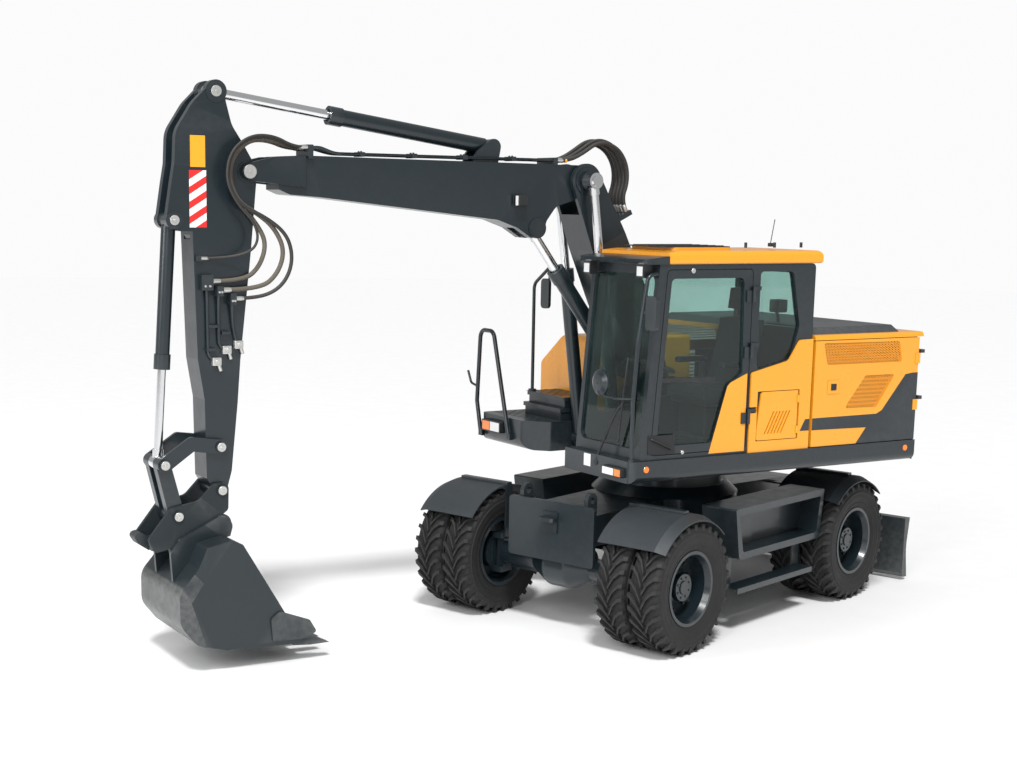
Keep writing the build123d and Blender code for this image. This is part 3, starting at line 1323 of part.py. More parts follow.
def lower_boom():
    """Lower boom: foot hub in the bracket, forked head round the upper boom."""
    span = hypot(KNUCKLE[0] - BOOM_FOOT[0], KNUCKLE[1] - BOOM_FOOT[1])
    rows = [
        (0, 110, 0),
        (330, 150, 0),
        (900, 195, 300),
        (1400, 180, 300),
        (span, 138, 0),
        (span, -138, 0),
        (1400, -180, 300),
        (900, -190, 300),
        (330, -150, 0),
        (0, -110, 0),
    ]
    hub = BRACKET_IN - FIT
    body = slab([(*along_boom(s, t), r) for s, t, r in rows], -FORK_OUT, FORK_OUT)
    body = body + across(*KNUCKLE, 140, -FORK_OUT, FORK_OUT)
    body = body + across(*BOOM_FOOT, 112, -hub, hub)
    body = body - sided(lambda a, b: across(*BOOM_FOOT, 360, a, b), hub, 400)
    body = body - across(*KNUCKLE, KNUCKLE_SLOT_R, -FORK_IN, FORK_IN)
    body = body + sided(lambda a, b: across(*KNUCKLE, 75, a, b), FORK_OUT - 5, BOOM_CYL_Y - BOOM_EYE - FIT)
    body = body + sided(lambda a, b: across(*KNUCKLE, 110, a, b), FORK_OUT - 5, FORK_OUT + 8)
    lugs = sided(lambda a, b: strap(ADJUST_BASE, 62, along_boom(300, 60), 110, a, b), ADJUST_LUG_IN, ADJUST_LUG_IN + 28)
    rest = [along_boom(s, t) for s, t in ((1490, -160), (1530, -160), (1530, -335), (1490, -335))]
    return body + lugs + slab([(x, z, 0) for x, z in rest], -HOSE_REST, HOSE_REST)


def boom_cylinder_barrels():
    return pair(barrel(BOOM_CYL_BASE, KNUCKLE, BOOM_CYL_Y, 58, 1480, 66, BOOM_EYE))


def boom_cylinder_rods():
    one = rod(BOOM_CYL_BASE, KNUCKLE, BOOM_CYL_Y, 36, 1330, 66, BOOM_EYE)
    return pair(one + across(*KNUCKLE, CAP_R, BOOM_CYL_Y + 40, BOOM_CYL_Y + 62))


def upper_boom():
    """Upper boom: knuckle hub, cylinder lugs and the fork round the arm."""
    corners = [
        (3760, 3781, 0),
        (3560, 3792, 200),
        (1100, 3776, 0),
        (1000, 3560, 0),
        (1135, 3493, 60),
        (1304, 3442, 100),
        (1398, 3320, 80),
        (1410, 3225, 0),
        (1540, 3190, 0),
        (1672, 3269, 100),
        (1860, 3332, 200),
        (3429, 3489, 300),
        (3672, 3504, 100),
        (3760, 3540, 0),
    ]
    hub = FORK_IN - FIT
    body = slab(corners, -BOOM_HALF_W, BOOM_HALF_W)
    body = body + across(*KNUCKLE, 124, -hub, hub)
    body = body + across(*ADJUST_LUG, 82, -BOOM_HALF_W - 8, BOOM_HALF_W + 8)
    body = body - across(*ADJUST_LUG, 190, -ADJUST_SLOT, ADJUST_SLOT)
    tip_x, tip_z = TIP
    prong = [
        (3560, 3788, 0),
        (3560, 3560, 0),
        (tip_x - 10, tip_z - 66, 60),
        (tip_x + 70, tip_z, 60),
        (tip_x - 10, tip_z + 66, 60),
        (3800, 3778, 60),
    ]
    fork = sided(lambda a, b: slab(prong, a, b), BOOM_HALF_W - 4, TIP_FORK_OUT)
    fork = fork - box(3740, 4200, -TIP_FORK_IN, TIP_FORK_IN, 3400, 3900)
    fork = fork + sided(lambda a, b: across(*TIP, PIN_R + 18, a, b), TIP_FORK_OUT - 2, TIP_FORK_OUT + 14)
    foot = (ARM_CYL_BASE[0] + 70, ARM_CYL_BASE[1] - 112)
    lugs = sided(lambda a, b: strap(ARM_CYL_BASE, 62, foot, 110, a, b), ARM_LUG_IN, ARM_LUG_IN + 26)
    rests = box(1302, 1342, -HOSE_REST, HOSE_REST, 3770, 3832) + box(3500, 3540, -60, 162, 3770, 3872)
    return body + fork + lugs + rests


def adjust_barrel():
    return barrel(ADJUST_BASE, ADJUST_LUG, 0, 66, 1080, 60, ADJUST_LUG_IN - FIT)


def adjust_rod():
    return rod(ADJUST_BASE, ADJUST_LUG, 0, 40, 960, 62, ADJUST_SLOT - FIT)


# Hose fittings on the arm's left face: x from and to, z from and to, outer y.
FITTING_BLOCKS = (
    (4302, 4392, 2812, 2925, 168),
    (4235, 4285, 2770, 2842, 200),
    (4135, 4180, 2705, 2790, 198),
    (4390, 4424, 3022, 3062, 156),
)


def arm():
    """Arm with the slot for both its cylinders' eyes and bosses at its pins."""
    x, z = ARM_PIN
    corners = [
        (4173, 4150, 0),
        (4131, 3993, 200),
        (4050, 3874, 0),
        (3945, 3700, 60),
        (3942, 3590, 60),
        (3988, 3092, 400),
        (4078, 2295, 300),
        (4103, 1969, 0),
        (4154, 1467, 0),
        (x - 62, z + 20, 0),
        (x + 62, z + 20, 0),
        (4353, 1420, 0),
        (4363, 2010, 0),
        (4412, 2307, 0),
        (4440, 3235, 0),
        (4540, 3235, 0),
        (4640, 3300, 30),
        (4595, 3579, 200),
        (4571, 3713, 200),
        (4560, 3939, 200),
        (4428, 4142, 200),
        (4300, 4270, 60),
        (4200, 4280, 60),
    ]
    half, boss = ARM_HALF_W, TIP_FORK_IN - FIT
    body = slab(corners, -half, half)
    body = body + across(*ARM_CYL_EYE, 80, -half - 6, half + 6)
    body = body + across(*BUCKET_CYL_BASE, 66, -half - 6, half + 6)
    for pin, radius in ((ARM_PIN, 62), (TIP, 78), (ROCKER_PIN, 58)):
        body = body + across(*pin, radius, -boss, boss)
    slot = slab(
        [
            (4000, 4500, 0),
            (4000, 4090, 0),
            (4250, 4060, 60),
            (4470, 3800, 100),
            (4480, 3330, 60),
            (4430, 3180, 0),
            (4800, 3000, 0),
            (4800, 4500, 0),
        ],
        -ARM_SLOT,
        ARM_SLOT,
    )
    for x0, x1, z0, z1, out in FITTING_BLOCKS:
        body = body + box(x0, x1, half - 4, out, z0, z1)
    return body - slot


def arm_barrel():
    return barrel(ARM_CYL_BASE, ARM_CYL_EYE, 0, 62, 1430, 60, ARM_LUG_IN - FIT)


def arm_rod():
    return rod(ARM_CYL_BASE, ARM_CYL_EYE, 0, 38, 1250, 62, ARM_SLOT - FIT)


def bucket_barrel():
    return barrel(BUCKET_CYL_BASE, LINK_PIN, 0, 52, 1080, 54, ARM_SLOT - FIT)


def bucket_rod():
    return rod(BUCKET_CYL_BASE, LINK_PIN, 0, 32, 1080, 54, LINK_SLOT - FIT)


def rocker():
    """Curved rocker plates on both sides of the arm."""
    bend = (4480, 1690)
    plate = strap(ROCKER_PIN, 55, bend, 52, LINK_IN, LINK_OUT) + strap(bend, 52, LINK_PIN, 55, LINK_IN, LINK_OUT)
    plate = plate + across(*ROCKER_PIN, CAP_R, LINK_OUT, LINK_OUT + 14)
    plate = plate + across(*LINK_PIN, CAP_R, LINK_OUT, LINK_OUT + 14)
    return pair(plate)


def push_link():
    """H-shaped link from the rocker to the coupler."""
    outer = LINK_IN - FIT
    legs = sided(lambda a, b: strap(LINK_PIN, 55, COUPLER_PIN, 60, a, b), LINK_SLOT, outer)
    web = strap(between(LINK_PIN, COUPLER_PIN, 190), 30, COUPLER_PIN, 40, -LINK_SLOT - 10, LINK_SLOT + 10)
    return legs + across(*COUPLER_PIN, 60, -outer, outer) + web


def coupler():
    """Quick coupler: side plates with claws round the bucket's pins, a floor and a nose."""
    plate = slab(
        [
            (4195, 1385, 50),
            (4310, 1385, 50),
            (4430, 1262, 100),
            (4560, 1240, 50),
            (4650, 1225, 60),
            (4830, 1000, 40),
            (4780, 900, 30),
            (4480, 960, 60),
            (4300, 1110, 100),
            (4200, 1180, 40),
        ],
        LINK_IN,
        LINK_OUT,
    )
    for x, z in BUCKET_PINS:
        plate = plate + across(x, z, PIN_R + 34, LINK_IN, LINK_OUT)
    plate = plate + across(*ARM_PIN, CAP_R, LINK_OUT - 1, LINK_OUT + 14)
    plate = plate + across(*COUPLER_PIN, CAP_R, LINK_OUT - 1, LINK_OUT + 14)
    shape = plate + mirrored(plate)
    floor = [(4340, 1092, 0), (4490, 985, 0), (4790, 912, 0), (4806, 958, 0), (4505, 1034, 0), (4360, 1140, 0)]
    shape = shape + slab(floor, -LINK_IN - 2, LINK_IN + 2)
    shape = shape + slab([(4790, 905, 0), (4870, 960, 0), (4915, 1030, 30), (4850, 1046, 30), (4780, 1000, 0)], -60, 60)
    for x, z in BUCKET_PINS:
        shape = shape - across(x, z, PIN_R + FIT, -200, 200)
    return shape


def bucket():
    """Bucket shell with side cutters, teeth, ears and the two coupler pins."""
    outer = [
        (3700, 150, 0),
        (4330, 172, 0),
        (4560, 235, 120),
        (4690, 400, 150),
        (4690, 640, 150),
        (4540, 810, 80),
        (4470, 960, 40),
        (4270, 1000, 40),
        (4190, 960, 0),
    ]
    inner = [
        (3660, 175, 0),
        (4325, 197, 0),
        (4545, 258, 100),
        (4664, 410, 130),
        (4664, 628, 130),
        (4515, 795, 70),
        (4448, 930, 30),
        (4270, 975, 30),
        (4150, 935, 0),
        (3600, 900, 0),
    ]
    wall = BUCKET_HALF_W - BUCKET_WALL
    hollow = slab(inner, -wall, wall)
    body = slab(outer, -BUCKET_HALF_W, BUCKET_HALF_W) - hollow
    cutter = [(3975, 372, 30), (3905, 425, 30), (3655, 330, 20), (3595, 230, 20), (3725, 188, 0), (3960, 200, 0)]
    body = body + sided(lambda a, b: slab(cutter, a, b), BUCKET_HALF_W - 4, BUCKET_HALF_W + 14)
    strip = [(4470, 175, 0), (4600, 215, 0), (4735, 390, 130), (4735, 650, 130), (4600, 800, 0), (4500, 700, 0), (4600, 560, 0)]
    corner = slab(outer, -BUCKET_HALF_W - 8, BUCKET_HALF_W + 8) & sided(lambda a, b: slab(strip, a, b), wall, BUCKET_HALF_W + 8)
    ear_in = LINK_OUT + FIT
    ear = [
        (4175, 1075, 60),
        (4250, 1158, 60),
        (4400, 1085, 100),
        (4600, 990, 60),
        (4672, 900, 50),
        (4650, 600, 0),
        (4450, 800, 0),
        (4330, 960, 0),
        (4200, 985, 0),
    ]
    ears = sided(lambda a, b: slab(ear, a, b), ear_in, ear_in + EAR_T)
    body = body + (corner + ears - hollow)
    for x, z in BUCKET_PINS:
        body = body + across(x, z, PIN_R, -ear_in - EAR_T + 4, ear_in + EAR_T - 4)
    step = 2 * (BUCKET_HALF_W - TOOTH_W / 2 - 12) / (TEETH - 1)
    for i in range(TEETH):
        y = -BUCKET_HALF_W + TOOTH_W / 2 + 12 + i * step
        tip = slab([(3480, 128, 0), (3560, 168, 0), (3730, 190, 0), (3780, 178, 0), (3780, 138, 0), (3640, 126, 0)],
                   y - TOOTH_W / 2, y + TOOTH_W / 2)
        body = body + tip
    return body


def hose(points, radius):
    """Plain six-sided hose along straight runs, joined by wide arcs."""
    spots = [Vector(*p) for p in points]
    bends = []
    for before, corner, after in zip(spots, spots[1:], spots[2:]):
        run = min((corner - before).length, (after - corner).length)
        turn = radians((corner - before).get_angle(after - corner))
        bends.append(0.45 * run / tan(turn / 2))
    path = FilletPolyline(*points, radius=bends)
    start = Plane(origin=path @ 0, z_dir=path % 0)
    return sweep(start * RegularPolygon(radius, 6), path=path)


def knuckle_hose(y, rise):
    """One hose of the row that loops behind the knuckle to the lower boom."""
    return [
        (1302, y, 3812),
        (1190, y, 3812),
        (1060, y, 3862 + rise),
        (885, y, 3975 + rise),
        (705, y, 3935 + rise),
        (600, y, 3810),
        (580, y, 3650),
        (636.7, y, 3506.3),
        (588.8, y, 3407.7),
    ]


# Hoses from the boom's tip down the left of the arm: radius and (x, y, z) points.
ARM_HOSES = (
    (17, [
        (3540, 30, 3845), (3660, 30, 3845), (3830, 70, 3898), (4012, 144, 3890), (4140, 144, 3770),
        (4165, 144, 3590), (4080, 144, 3430), (3950, 144, 3290), (3872, 144, 3150), (3930, 144, 2975),
        (4060, 144, 2876), (4301.7, 144, 2876),
    ]),
    (17, [
        (3540, 75, 3847), (3660, 75, 3847), (3830, 114, 3908), (4022, 181, 3903), (4160, 181, 3790),
        (4190, 181, 3600), (4105, 181, 3440), (3955, 181, 3362), (3828, 181, 3265), (3742, 181, 3100),
        (3800, 181, 2925), (3945, 181, 2815), (4234.7, 181, 2815),
    ]),
    (14, [
        (3540, 112, 3850), (3655, 112, 3850), (3830, 160, 3918), (4034, 216, 3913), (4180, 216, 3800),
        (4212, 216, 3605), (4120, 216, 3430), (3900, 216, 3335), (3745, 216, 3220), (3695, 216, 3070),
        (3722, 216, 2925), (3815, 216, 2812), (3960, 180, 2752), (4134.7, 180, 2752),
    ]),
    (10, [
        (3540, 146, 3852), (3650, 146, 3852), (3830, 194, 3926), (4040, 246, 3923), (4195, 246, 3805),
        (4232, 246, 3605), (4150, 246, 3440), (4010, 246, 3300), (3978, 246, 3180), (4035, 236, 3088),
        (4205, 140, 3042), (4389.7, 140, 3042),
    ]),
)


def boom_hoses():
    shapes = [hose(points, radius) for radius, points in ARM_HOSES]
    for i in range(KNUCKLE_HOSES):
        y = (i - (KNUCKLE_HOSES - 1) / 2) * HOSE_PITCH
        shapes.append(hose(knuckle_hose(y, 20 * (i % 2)), KNUCKLE_HOSE_R))
    return shapes


save("boom_hoses", boom_hoses())
save("lower_boom", lower_boom())
save("boom_cylinder_barrels", boom_cylinder_barrels())
save("boom_cylinder_rods", boom_cylinder_rods())
save("upper_boom", upper_boom())
save("adjust_cylinder_barrel", adjust_barrel())
save("adjust_cylinder_rod", adjust_rod())
save("arm", arm())
save("arm_cylinder_barrel", arm_barrel())
save("arm_cylinder_rod", arm_rod())
save("bucket_cylinder_barrel", bucket_barrel())
save("bucket_cylinder_rod", bucket_rod())
save("rocker", rocker())
save("push_link", push_link())
save("coupler", coupler())
save("bucket", bucket())
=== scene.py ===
import bpy
import bmesh
from math import cos, pi, radians, sin
from mathutils import Matrix, Vector


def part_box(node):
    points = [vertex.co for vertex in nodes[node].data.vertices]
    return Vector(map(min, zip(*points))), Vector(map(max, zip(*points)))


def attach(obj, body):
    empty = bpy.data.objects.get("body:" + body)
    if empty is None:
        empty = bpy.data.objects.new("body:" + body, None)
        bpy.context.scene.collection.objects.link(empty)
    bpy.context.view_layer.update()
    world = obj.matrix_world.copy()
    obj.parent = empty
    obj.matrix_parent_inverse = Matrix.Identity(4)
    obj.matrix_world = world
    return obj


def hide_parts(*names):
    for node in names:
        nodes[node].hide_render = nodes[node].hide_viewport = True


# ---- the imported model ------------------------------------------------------
# Metres, +X forward along the boom, +Y to the cab's side, +Z up.
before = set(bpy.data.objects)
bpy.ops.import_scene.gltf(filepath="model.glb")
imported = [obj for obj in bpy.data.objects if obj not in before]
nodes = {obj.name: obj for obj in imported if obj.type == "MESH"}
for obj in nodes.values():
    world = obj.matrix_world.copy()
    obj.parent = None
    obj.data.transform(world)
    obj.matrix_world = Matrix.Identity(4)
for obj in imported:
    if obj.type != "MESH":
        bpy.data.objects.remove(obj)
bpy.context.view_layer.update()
scene = bpy.context.scene

# ---- camera ----------------------------------------------------------------
# A long lens from the front left, a little above the wheels, with the view
# shifted so that the machine stands low and to the right of the lens's axis.
CAMERA_AT = Vector((8.635, 11.072, 3.457))
HEADING, TILT, ROLL = radians(240.53), radians(-10.07), radians(0.75)

ahead = Vector((cos(TILT) * cos(HEADING), cos(TILT) * sin(HEADING), sin(TILT)))
right = Vector((sin(HEADING), -cos(HEADING), 0))
above = right.cross(ahead)
camera_x = cos(ROLL) * right + sin(ROLL) * above
camera_y = cos(ROLL) * above - sin(ROLL) * right
lens = bpy.data.cameras.new("camera")
lens.sensor_fit = "HORIZONTAL"
lens.sensor_width = 36.0
lens.lens = 56.32
lens.shift_x = 0.0769
lens.shift_y = 0.0999
lens.clip_end = 200
camera = bpy.data.objects.new("camera", lens)
scene.collection.objects.link(camera)
turn = Matrix((camera_x, camera_y, -ahead)).transposed().to_4x4()
camera.matrix_world = Matrix.Translation(CAMERA_AT) @ turn
scene.camera = camera

# ---- studio ----------------------------------------------------------------
# A white floor that fades into a white surround, a large soft key light from
# the camera's right and a weaker fill from its left.
scene.view_settings.view_transform = "Standard"
world = bpy.data.worlds.new("studio")
scene.world = world
world.use_nodes = True
backdrop = world.node_tree.nodes["Background"]
backdrop.inputs["Color"].default_value = (1.0, 1.0, 1.0, 1)
seen = world.node_tree.nodes.new("ShaderNodeLightPath")
level = world.node_tree.nodes.new("ShaderNodeMapRange")
level.inputs["To Min"].default_value = 0.42
level.inputs["To Max"].default_value = 0.97
world.node_tree.links.new(seen.outputs["Is Camera Ray"], level.inputs["Value"])
world.node_tree.links.new(level.outputs["Result"], backdrop.inputs["Strength"])


def area_light(name, place, aim, size, power):
    data = bpy.data.lights.new(name, "AREA")
    data.shape = "RECTANGLE"
    data.size, data.size_y = size
    data.energy = power
    lamp = bpy.data.objects.new(name, data)
    lamp.location = place
    lamp.rotation_euler = (Vector(aim) - Vector(place)).to_track_quat("-Z", "Y").to_euler()
    scene.collection.objects.link(lamp)


area_light("strip", (9, 8, 7), (1, 0, 1.5), (2.5, 5), 420)
area_light("fill", (13, 1, 6), (2, 0, 2), (3, 6), 380)
day = bpy.data.lights.new("day", "SUN")
day.energy = 2.6
day.angle = radians(9)
sun = bpy.data.objects.new("day", day)
sun.rotation_euler = Vector((-0.35, -0.62, -1.0)).to_track_quat("-Z", "Y").to_euler()
scene.collection.objects.link(sun)

floor_mesh = bpy.data.meshes.new("floor")
bm = bmesh.new()
bmesh.ops.create_circle(bm, cap_ends=True, segments=96, radius=60)
bm.to_mesh(floor_mesh)
bm.free()
floor = bpy.data.objects.new("floor", floor_mesh)
scene.collection.objects.link(floor)
floor_paint = bpy.data.materials.new("floor")
floor_paint.use_nodes = True
tree = floor_paint.node_tree
speckle = tree.nodes.new("ShaderNodeTexNoise")
speckle.inputs["Scale"].default_value = 3.0
tone = tree.nodes.new("ShaderNodeValToRGB")
tone.color_ramp.elements[0].color = (0.90, 0.90, 0.905, 1)
tone.color_ramp.elements[1].color = (0.95, 0.95, 0.95, 1)
spot = tree.nodes.new("ShaderNodeTexCoord")
tree.links.new(spot.outputs["Object"], speckle.inputs["Vector"])
tree.links.new(speckle.outputs["Fac"], tone.inputs["Fac"])
tree.links.new(tone.outputs["Color"], tree.nodes["Principled BSDF"].inputs["Base Color"])
tree.nodes["Principled BSDF"].inputs["Roughness"].default_value = 0.75
floor_mesh.materials.append(floor_paint)


# ---- finishes --------------------------------------------------------------
# One node group serves every opaque surface: broad patches in its colour, a
# fine grain in its bump, rubbed edges, and dust where it faces up.
RUBBED_METAL = (0.42, 0.41, 0.39, 1)
DRY_DUST = (0.36, 0.33, 0.29, 1)
COAT_ROUGHNESS = 0.12


def worn_surface():
    group = bpy.data.node_groups.new("Worn surface", "ShaderNodeTree")
    sockets = (
        ("Colour", "NodeSocketColor", (0.5, 0.5, 0.5, 1)),
        ("Metal", "NodeSocketFloat", 0.0),
        ("Roughness", "NodeSocketFloat", 0.4),
        ("Coat", "NodeSocketFloat", 0.0),
        ("Patches", "NodeSocketFloat", 0.12),
        ("Grain", "NodeSocketFloat", 0.05),
        ("Grain scale", "NodeSocketFloat", 180.0),
        ("Wear", "NodeSocketFloat", 0.2),
        ("Dust", "NodeSocketFloat", 0.1),
    )
    for name, kind, value in sockets:
        socket = group.interface.new_socket(name=name, in_out="INPUT", socket_type=kind)
        socket.default_value = value
    group.interface.new_socket(name="Surface", in_out="OUTPUT", socket_type="NodeSocketShader")
    add, link = group.nodes.new, group.links.new
    given, out = add("NodeGroupInput"), add("NodeGroupOutput")
    place = add("ShaderNodeTexCoord")

    def noise(scale, detail):
        node = add("ShaderNodeTexNoise")
        node.inputs["Detail"].default_value = detail
        if isinstance(scale, float):
            node.inputs["Scale"].default_value = scale
        else:
            link(scale, node.inputs["Scale"])
        link(place.outputs["Object"], node.inputs["Vector"])
        return node.outputs["Fac"]

    def sums(operation, a, b, clamp=False):
        node = add("ShaderNodeMath")
        node.operation = operation
        node.use_clamp = clamp
        for socket, value in zip(node.inputs, (a, b)):
            if isinstance(value, float):
                socket.default_value = value
            else:
                link(value, socket)
        return node.outputs[0]

    def blend(share, a, b):
        node = add("ShaderNodeMix")
        node.data_type = "RGBA"
        link(share, node.inputs[0])
        for socket, value in ((node.inputs[6], a), (node.inputs[7], b)):
            if isinstance(value, tuple):
                socket.default_value = value
            else:
                link(value, socket)
        return node.outputs[2]

    patch = sums("MULTIPLY", sums("SUBTRACT", noise(1.6, 4.0), 0.5), given.outputs["Patches"])
    patch = sums("ADD", sums("MULTIPLY", patch, 2.2), 1.0)
    toned = add("ShaderNodeHueSaturation")
    link(given.outputs["Colour"], toned.inputs["Color"])
    link(patch, toned.inputs["Value"])
    form = add("ShaderNodeNewGeometry")
    edge = sums("MULTIPLY", sums("SUBTRACT", form.outputs["Pointiness"], 0.53), 9.0, True)
    edge = sums("MULTIPLY", sums("MULTIPLY", edge, noise(24.0, 3.0)), given.outputs["Wear"], True)
    rubbed = blend(edge, toned.outputs["Color"], RUBBED_METAL)
    facing = add("ShaderNodeSeparateXYZ")
    link(form.outputs["Normal"], facing.inputs[0])
    up = sums("MULTIPLY", sums("SUBTRACT", facing.outputs["Z"], 0.3), 1.3, True)
    dust = sums("MULTIPLY", sums("MULTIPLY", up, noise(5.0, 6.0)), given.outputs["Dust"], True)
    dusty = blend(dust, rubbed, DRY_DUST)
    fine = noise(given.outputs["Grain scale"], 3.0)
    uneven = sums("MULTIPLY", sums("SUBTRACT", noise(9.0, 5.0), 0.5), 0.22)
    rough = sums("ADD", uneven, given.outputs["Roughness"], True)
    rough = sums("ADD", rough, sums("MULTIPLY", dust, 0.5), True)
    bump = add("ShaderNodeBump")
    bump.inputs["Distance"].default_value = 0.004
    link(given.outputs["Grain"], bump.inputs["Strength"])
    link(fine, bump.inputs["Height"])
    surface = add("ShaderNodeBsdfPrincipled")
    link(dusty, surface.inputs["Base Color"])
    link(given.outputs["Metal"], surface.inputs["Metallic"])
    link(rough, surface.inputs["Roughness"])
    link(given.outputs["Coat"], surface.inputs["Coat Weight"])
    surface.inputs["Coat Roughness"].default_value = COAT_ROUGHNESS
    link(bump.outputs["Normal"], surface.inputs["Normal"])
    link(surface.outputs[0], out.inputs["Surface"])
    return group


worn = worn_surface()


def finish(name, colour, **values):
    """Material made from the shared group, with its sockets set by name."""
    material = bpy.data.materials.new(name)
    material.use_nodes = True
    nodes_of = material.node_tree.nodes
    nodes_of.remove(nodes_of["Principled BSDF"])
    shader = nodes_of.new("ShaderNodeGroup")
    shader.node_tree = worn
    shader.inputs["Colour"].default_value = (*colour, 1)
    for key, value in values.items():
        shader.inputs[key.replace("_", " ")].default_value = value
    material.node_tree.links.new(shader.outputs[0], nodes_of["Material Output"].inputs["Surface"])
    return material


steel = finish("steel_paint", (0.0065, 0.0135, 0.018), Roughness=0.34, Coat=0.3, Wear=0.06, Dust=0.012)
steel.diffuse_color = (0.08, 0.1, 0.12, 1)
yellow = finish(
    "yellow_paint", (0.9, 0.36, 0.014),
    Roughness=0.3, Coat=0.5, Patches=0.04, Wear=0.0, Dust=0.03,
)
plastic = finish(
    "moulded_plastic", (0.02, 0.027, 0.033),
    Roughness=0.5, Grain=0.3, Grain_scale=420.0, Wear=0.05, Dust=0.04,
)
black = finish(
    "black_plastic", (0.012, 0.013, 0.015),
    Roughness=0.38, Grain=0.2, Grain_scale=420.0, Wear=0.05, Dust=0.05,
)
rubber = finish(
    "tyre_rubber", (0.010, 0.010, 0.0105),
    Roughness=0.7, Grain=0.45, Grain_scale=260.0, Wear=0.05, Dust=0.05,
)
chrome = finish(
    "chrome", (0.78, 0.79, 0.8),
    Metal=1.0, Roughness=0.12, Patches=0.03, Grain=0.0, Wear=0.0, Dust=0.0,
)
zinc = finish("zinc_plate", (0.6, 0.6, 0.58), Metal=0.85, Roughness=0.38, Grain=0.1, Wear=0.1, Dust=0.05)
iron = finish(
    "cast_iron", (0.008, 0.014, 0.018),
    Roughness=0.5, Grain=0.3, Grain_scale=90.0, Wear=0.12, Dust=0.03,
)
grey = finish("grey_cover", (0.03, 0.037, 0.043), Roughness=0.45, Grain=0.2, Dust=0.03)
cutting = finish(
    "worn_steel", (0.009, 0.016, 0.020),
    Roughness=0.42, Coat=0.15, Grain=0.15, Grain_scale=60.0, Wear=0.35, Dust=0.03,
)
red = finish("stripe_red", (0.72, 0.02, 0.018), Roughness=0.35, Patches=0.04, Wear=0.0, Dust=0.02)
white = finish("stripe_white", (0.8, 0.8, 0.8), Roughness=0.35, Patches=0.03, Wear=0.0, Dust=0.02)
orange = finish("orange_lens", (0.95, 0.22, 0.01), Roughness=0.15, Coat=0.8, Patches=0.05, Wear=0.0, Dust=0.0)


def window_glass(name, tint, body_share):
    """Thin tinted pane: mostly clear, with a mirror sheen that grows towards its edge."""
    material = bpy.data.materials.new(name)
    material.use_nodes = True
    tree = material.node_tree
    tree.nodes.remove(tree.nodes["Principled BSDF"])
    clear = tree.nodes.new("ShaderNodeBsdfTransparent")
    sheen = tree.nodes.new("ShaderNodeBsdfGlossy")
    haze = tree.nodes.new("ShaderNodeBsdfDiffuse")
    fresnel = tree.nodes.new("ShaderNodeFresnel")
    spots = tree.nodes.new("ShaderNodeTexNoise")
    coords = tree.nodes.new("ShaderNodeTexCoord")
    first, second = tree.nodes.new("ShaderNodeMixShader"), tree.nodes.new("ShaderNodeMixShader")
    share = tree.nodes.new("ShaderNodeMath")
    share.operation = "MULTIPLY"
    share.inputs[1].default_value = body_share
    form, outer = tree.nodes.new("ShaderNodeNewGeometry"), tree.nodes.new("ShaderNodeMath")
    front = tree.nodes.new("ShaderNodeMath")
    front.operation = "SUBTRACT"
    front.inputs[0].default_value = 1.0
    outer.operation = "MULTIPLY"
    tree.links.new(form.outputs["Backfacing"], front.inputs[1])
    tree.links.new(fresnel.outputs[0], outer.inputs[0])
    tree.links.new(front.outputs[0], outer.inputs[1])
    clear.inputs["Color"].default_value = (*tint, 1)
    haze.inputs["Color"].default_value = (0.05, 0.08, 0.08, 1)
    sheen.inputs["Roughness"].default_value = 0.02
    fresnel.inputs["IOR"].default_value = 1.52
    spots.inputs["Scale"].default_value = 2.0
    tree.links.new(coords.outputs["Object"], spots.inputs["Vector"])
    tree.links.new(spots.outputs["Fac"], share.inputs[0])
    tree.links.new(share.outputs[0], first.inputs["Fac"])
    tree.links.new(clear.outputs[0], first.inputs[1])
    tree.links.new(haze.outputs[0], first.inputs[2])
    tree.links.new(outer.outputs[0], second.inputs["Fac"])
    tree.links.new(first.outputs[0], second.inputs[1])
    tree.links.new(sheen.outputs[0], second.inputs[2])
    tree.links.new(second.outputs[0], tree.nodes["Material Output"].inputs["Surface"])
    return material


pane = window_glass("cab_pane", (0.74, 0.86, 0.83), 0.12)

# ---- carried-over pieces ---------------------------------------------------
# Every node that stays as it is takes one of the finishes above.
paints = (
    (yellow, (
        "hood_side_left", "hood_side_right", "hood_top", "cab_roof", "right_body", "quarter_panel", "service_flap",
    )),
    (plastic, ("front_fender_left", "front_fender_right", "rear_fenders")),
    (chrome, (
        "boom_cylinder_rods", "adjust_cylinder_rod", "arm_cylinder_rod", "bucket_cylinder_rod", "blade_cylinder_rods",
    )),
    (iron, ("engine_block", "coupler")),
    (grey, ("engine_cover",)),
    (black, ("console", "lamps")),
    (pane, ("cab_glass", "door_glass")),
    (cutting, ("bucket", "dozer_blade")),
)
paint_of = {name: paint for paint, names in paints for name in names}
for name, obj in nodes.items():
    if not obj.data.materials:
        obj.data.materials.append(None)
    for slot in obj.material_slots:
        slot.material = paint_of.get(name, steel)

# ---- tyres -----------------------------------------------------------------
# Each pair of twin tyres: a plain carcass with raised sidewall rings, and
# chevron lugs, LUGS on each shoulder, half a pitch apart.
LUGS = 30
TYRE_SIDES = 96
TYRE_R, CROWN_R, BELLY_R, BEAD_R = 0.527, 0.499, 0.40, 0.287
TYRE_HALF, BEAD_HALF = 0.139, 0.103
TWIN_OFFSET = 0.157
UNDERCARRIAGE_TURN = Matrix.Rotation(radians(18), 3, "Z")
LUG_STEPS = (  # across the tread, lean, share of the pitch, top and foot radius
    (0.004, -0.055, 0.5, TYRE_R, 0.49),
    (0.05, -0.012, 0.52, TYRE_R, 0.49),
    (0.1, 0.012, 0.55, TYRE_R, 0.49),
    (0.131, 0.016, 0.6, 0.514, 0.462),
    (0.1365, 0.016, 0.6, 0.466, 0.462),
)


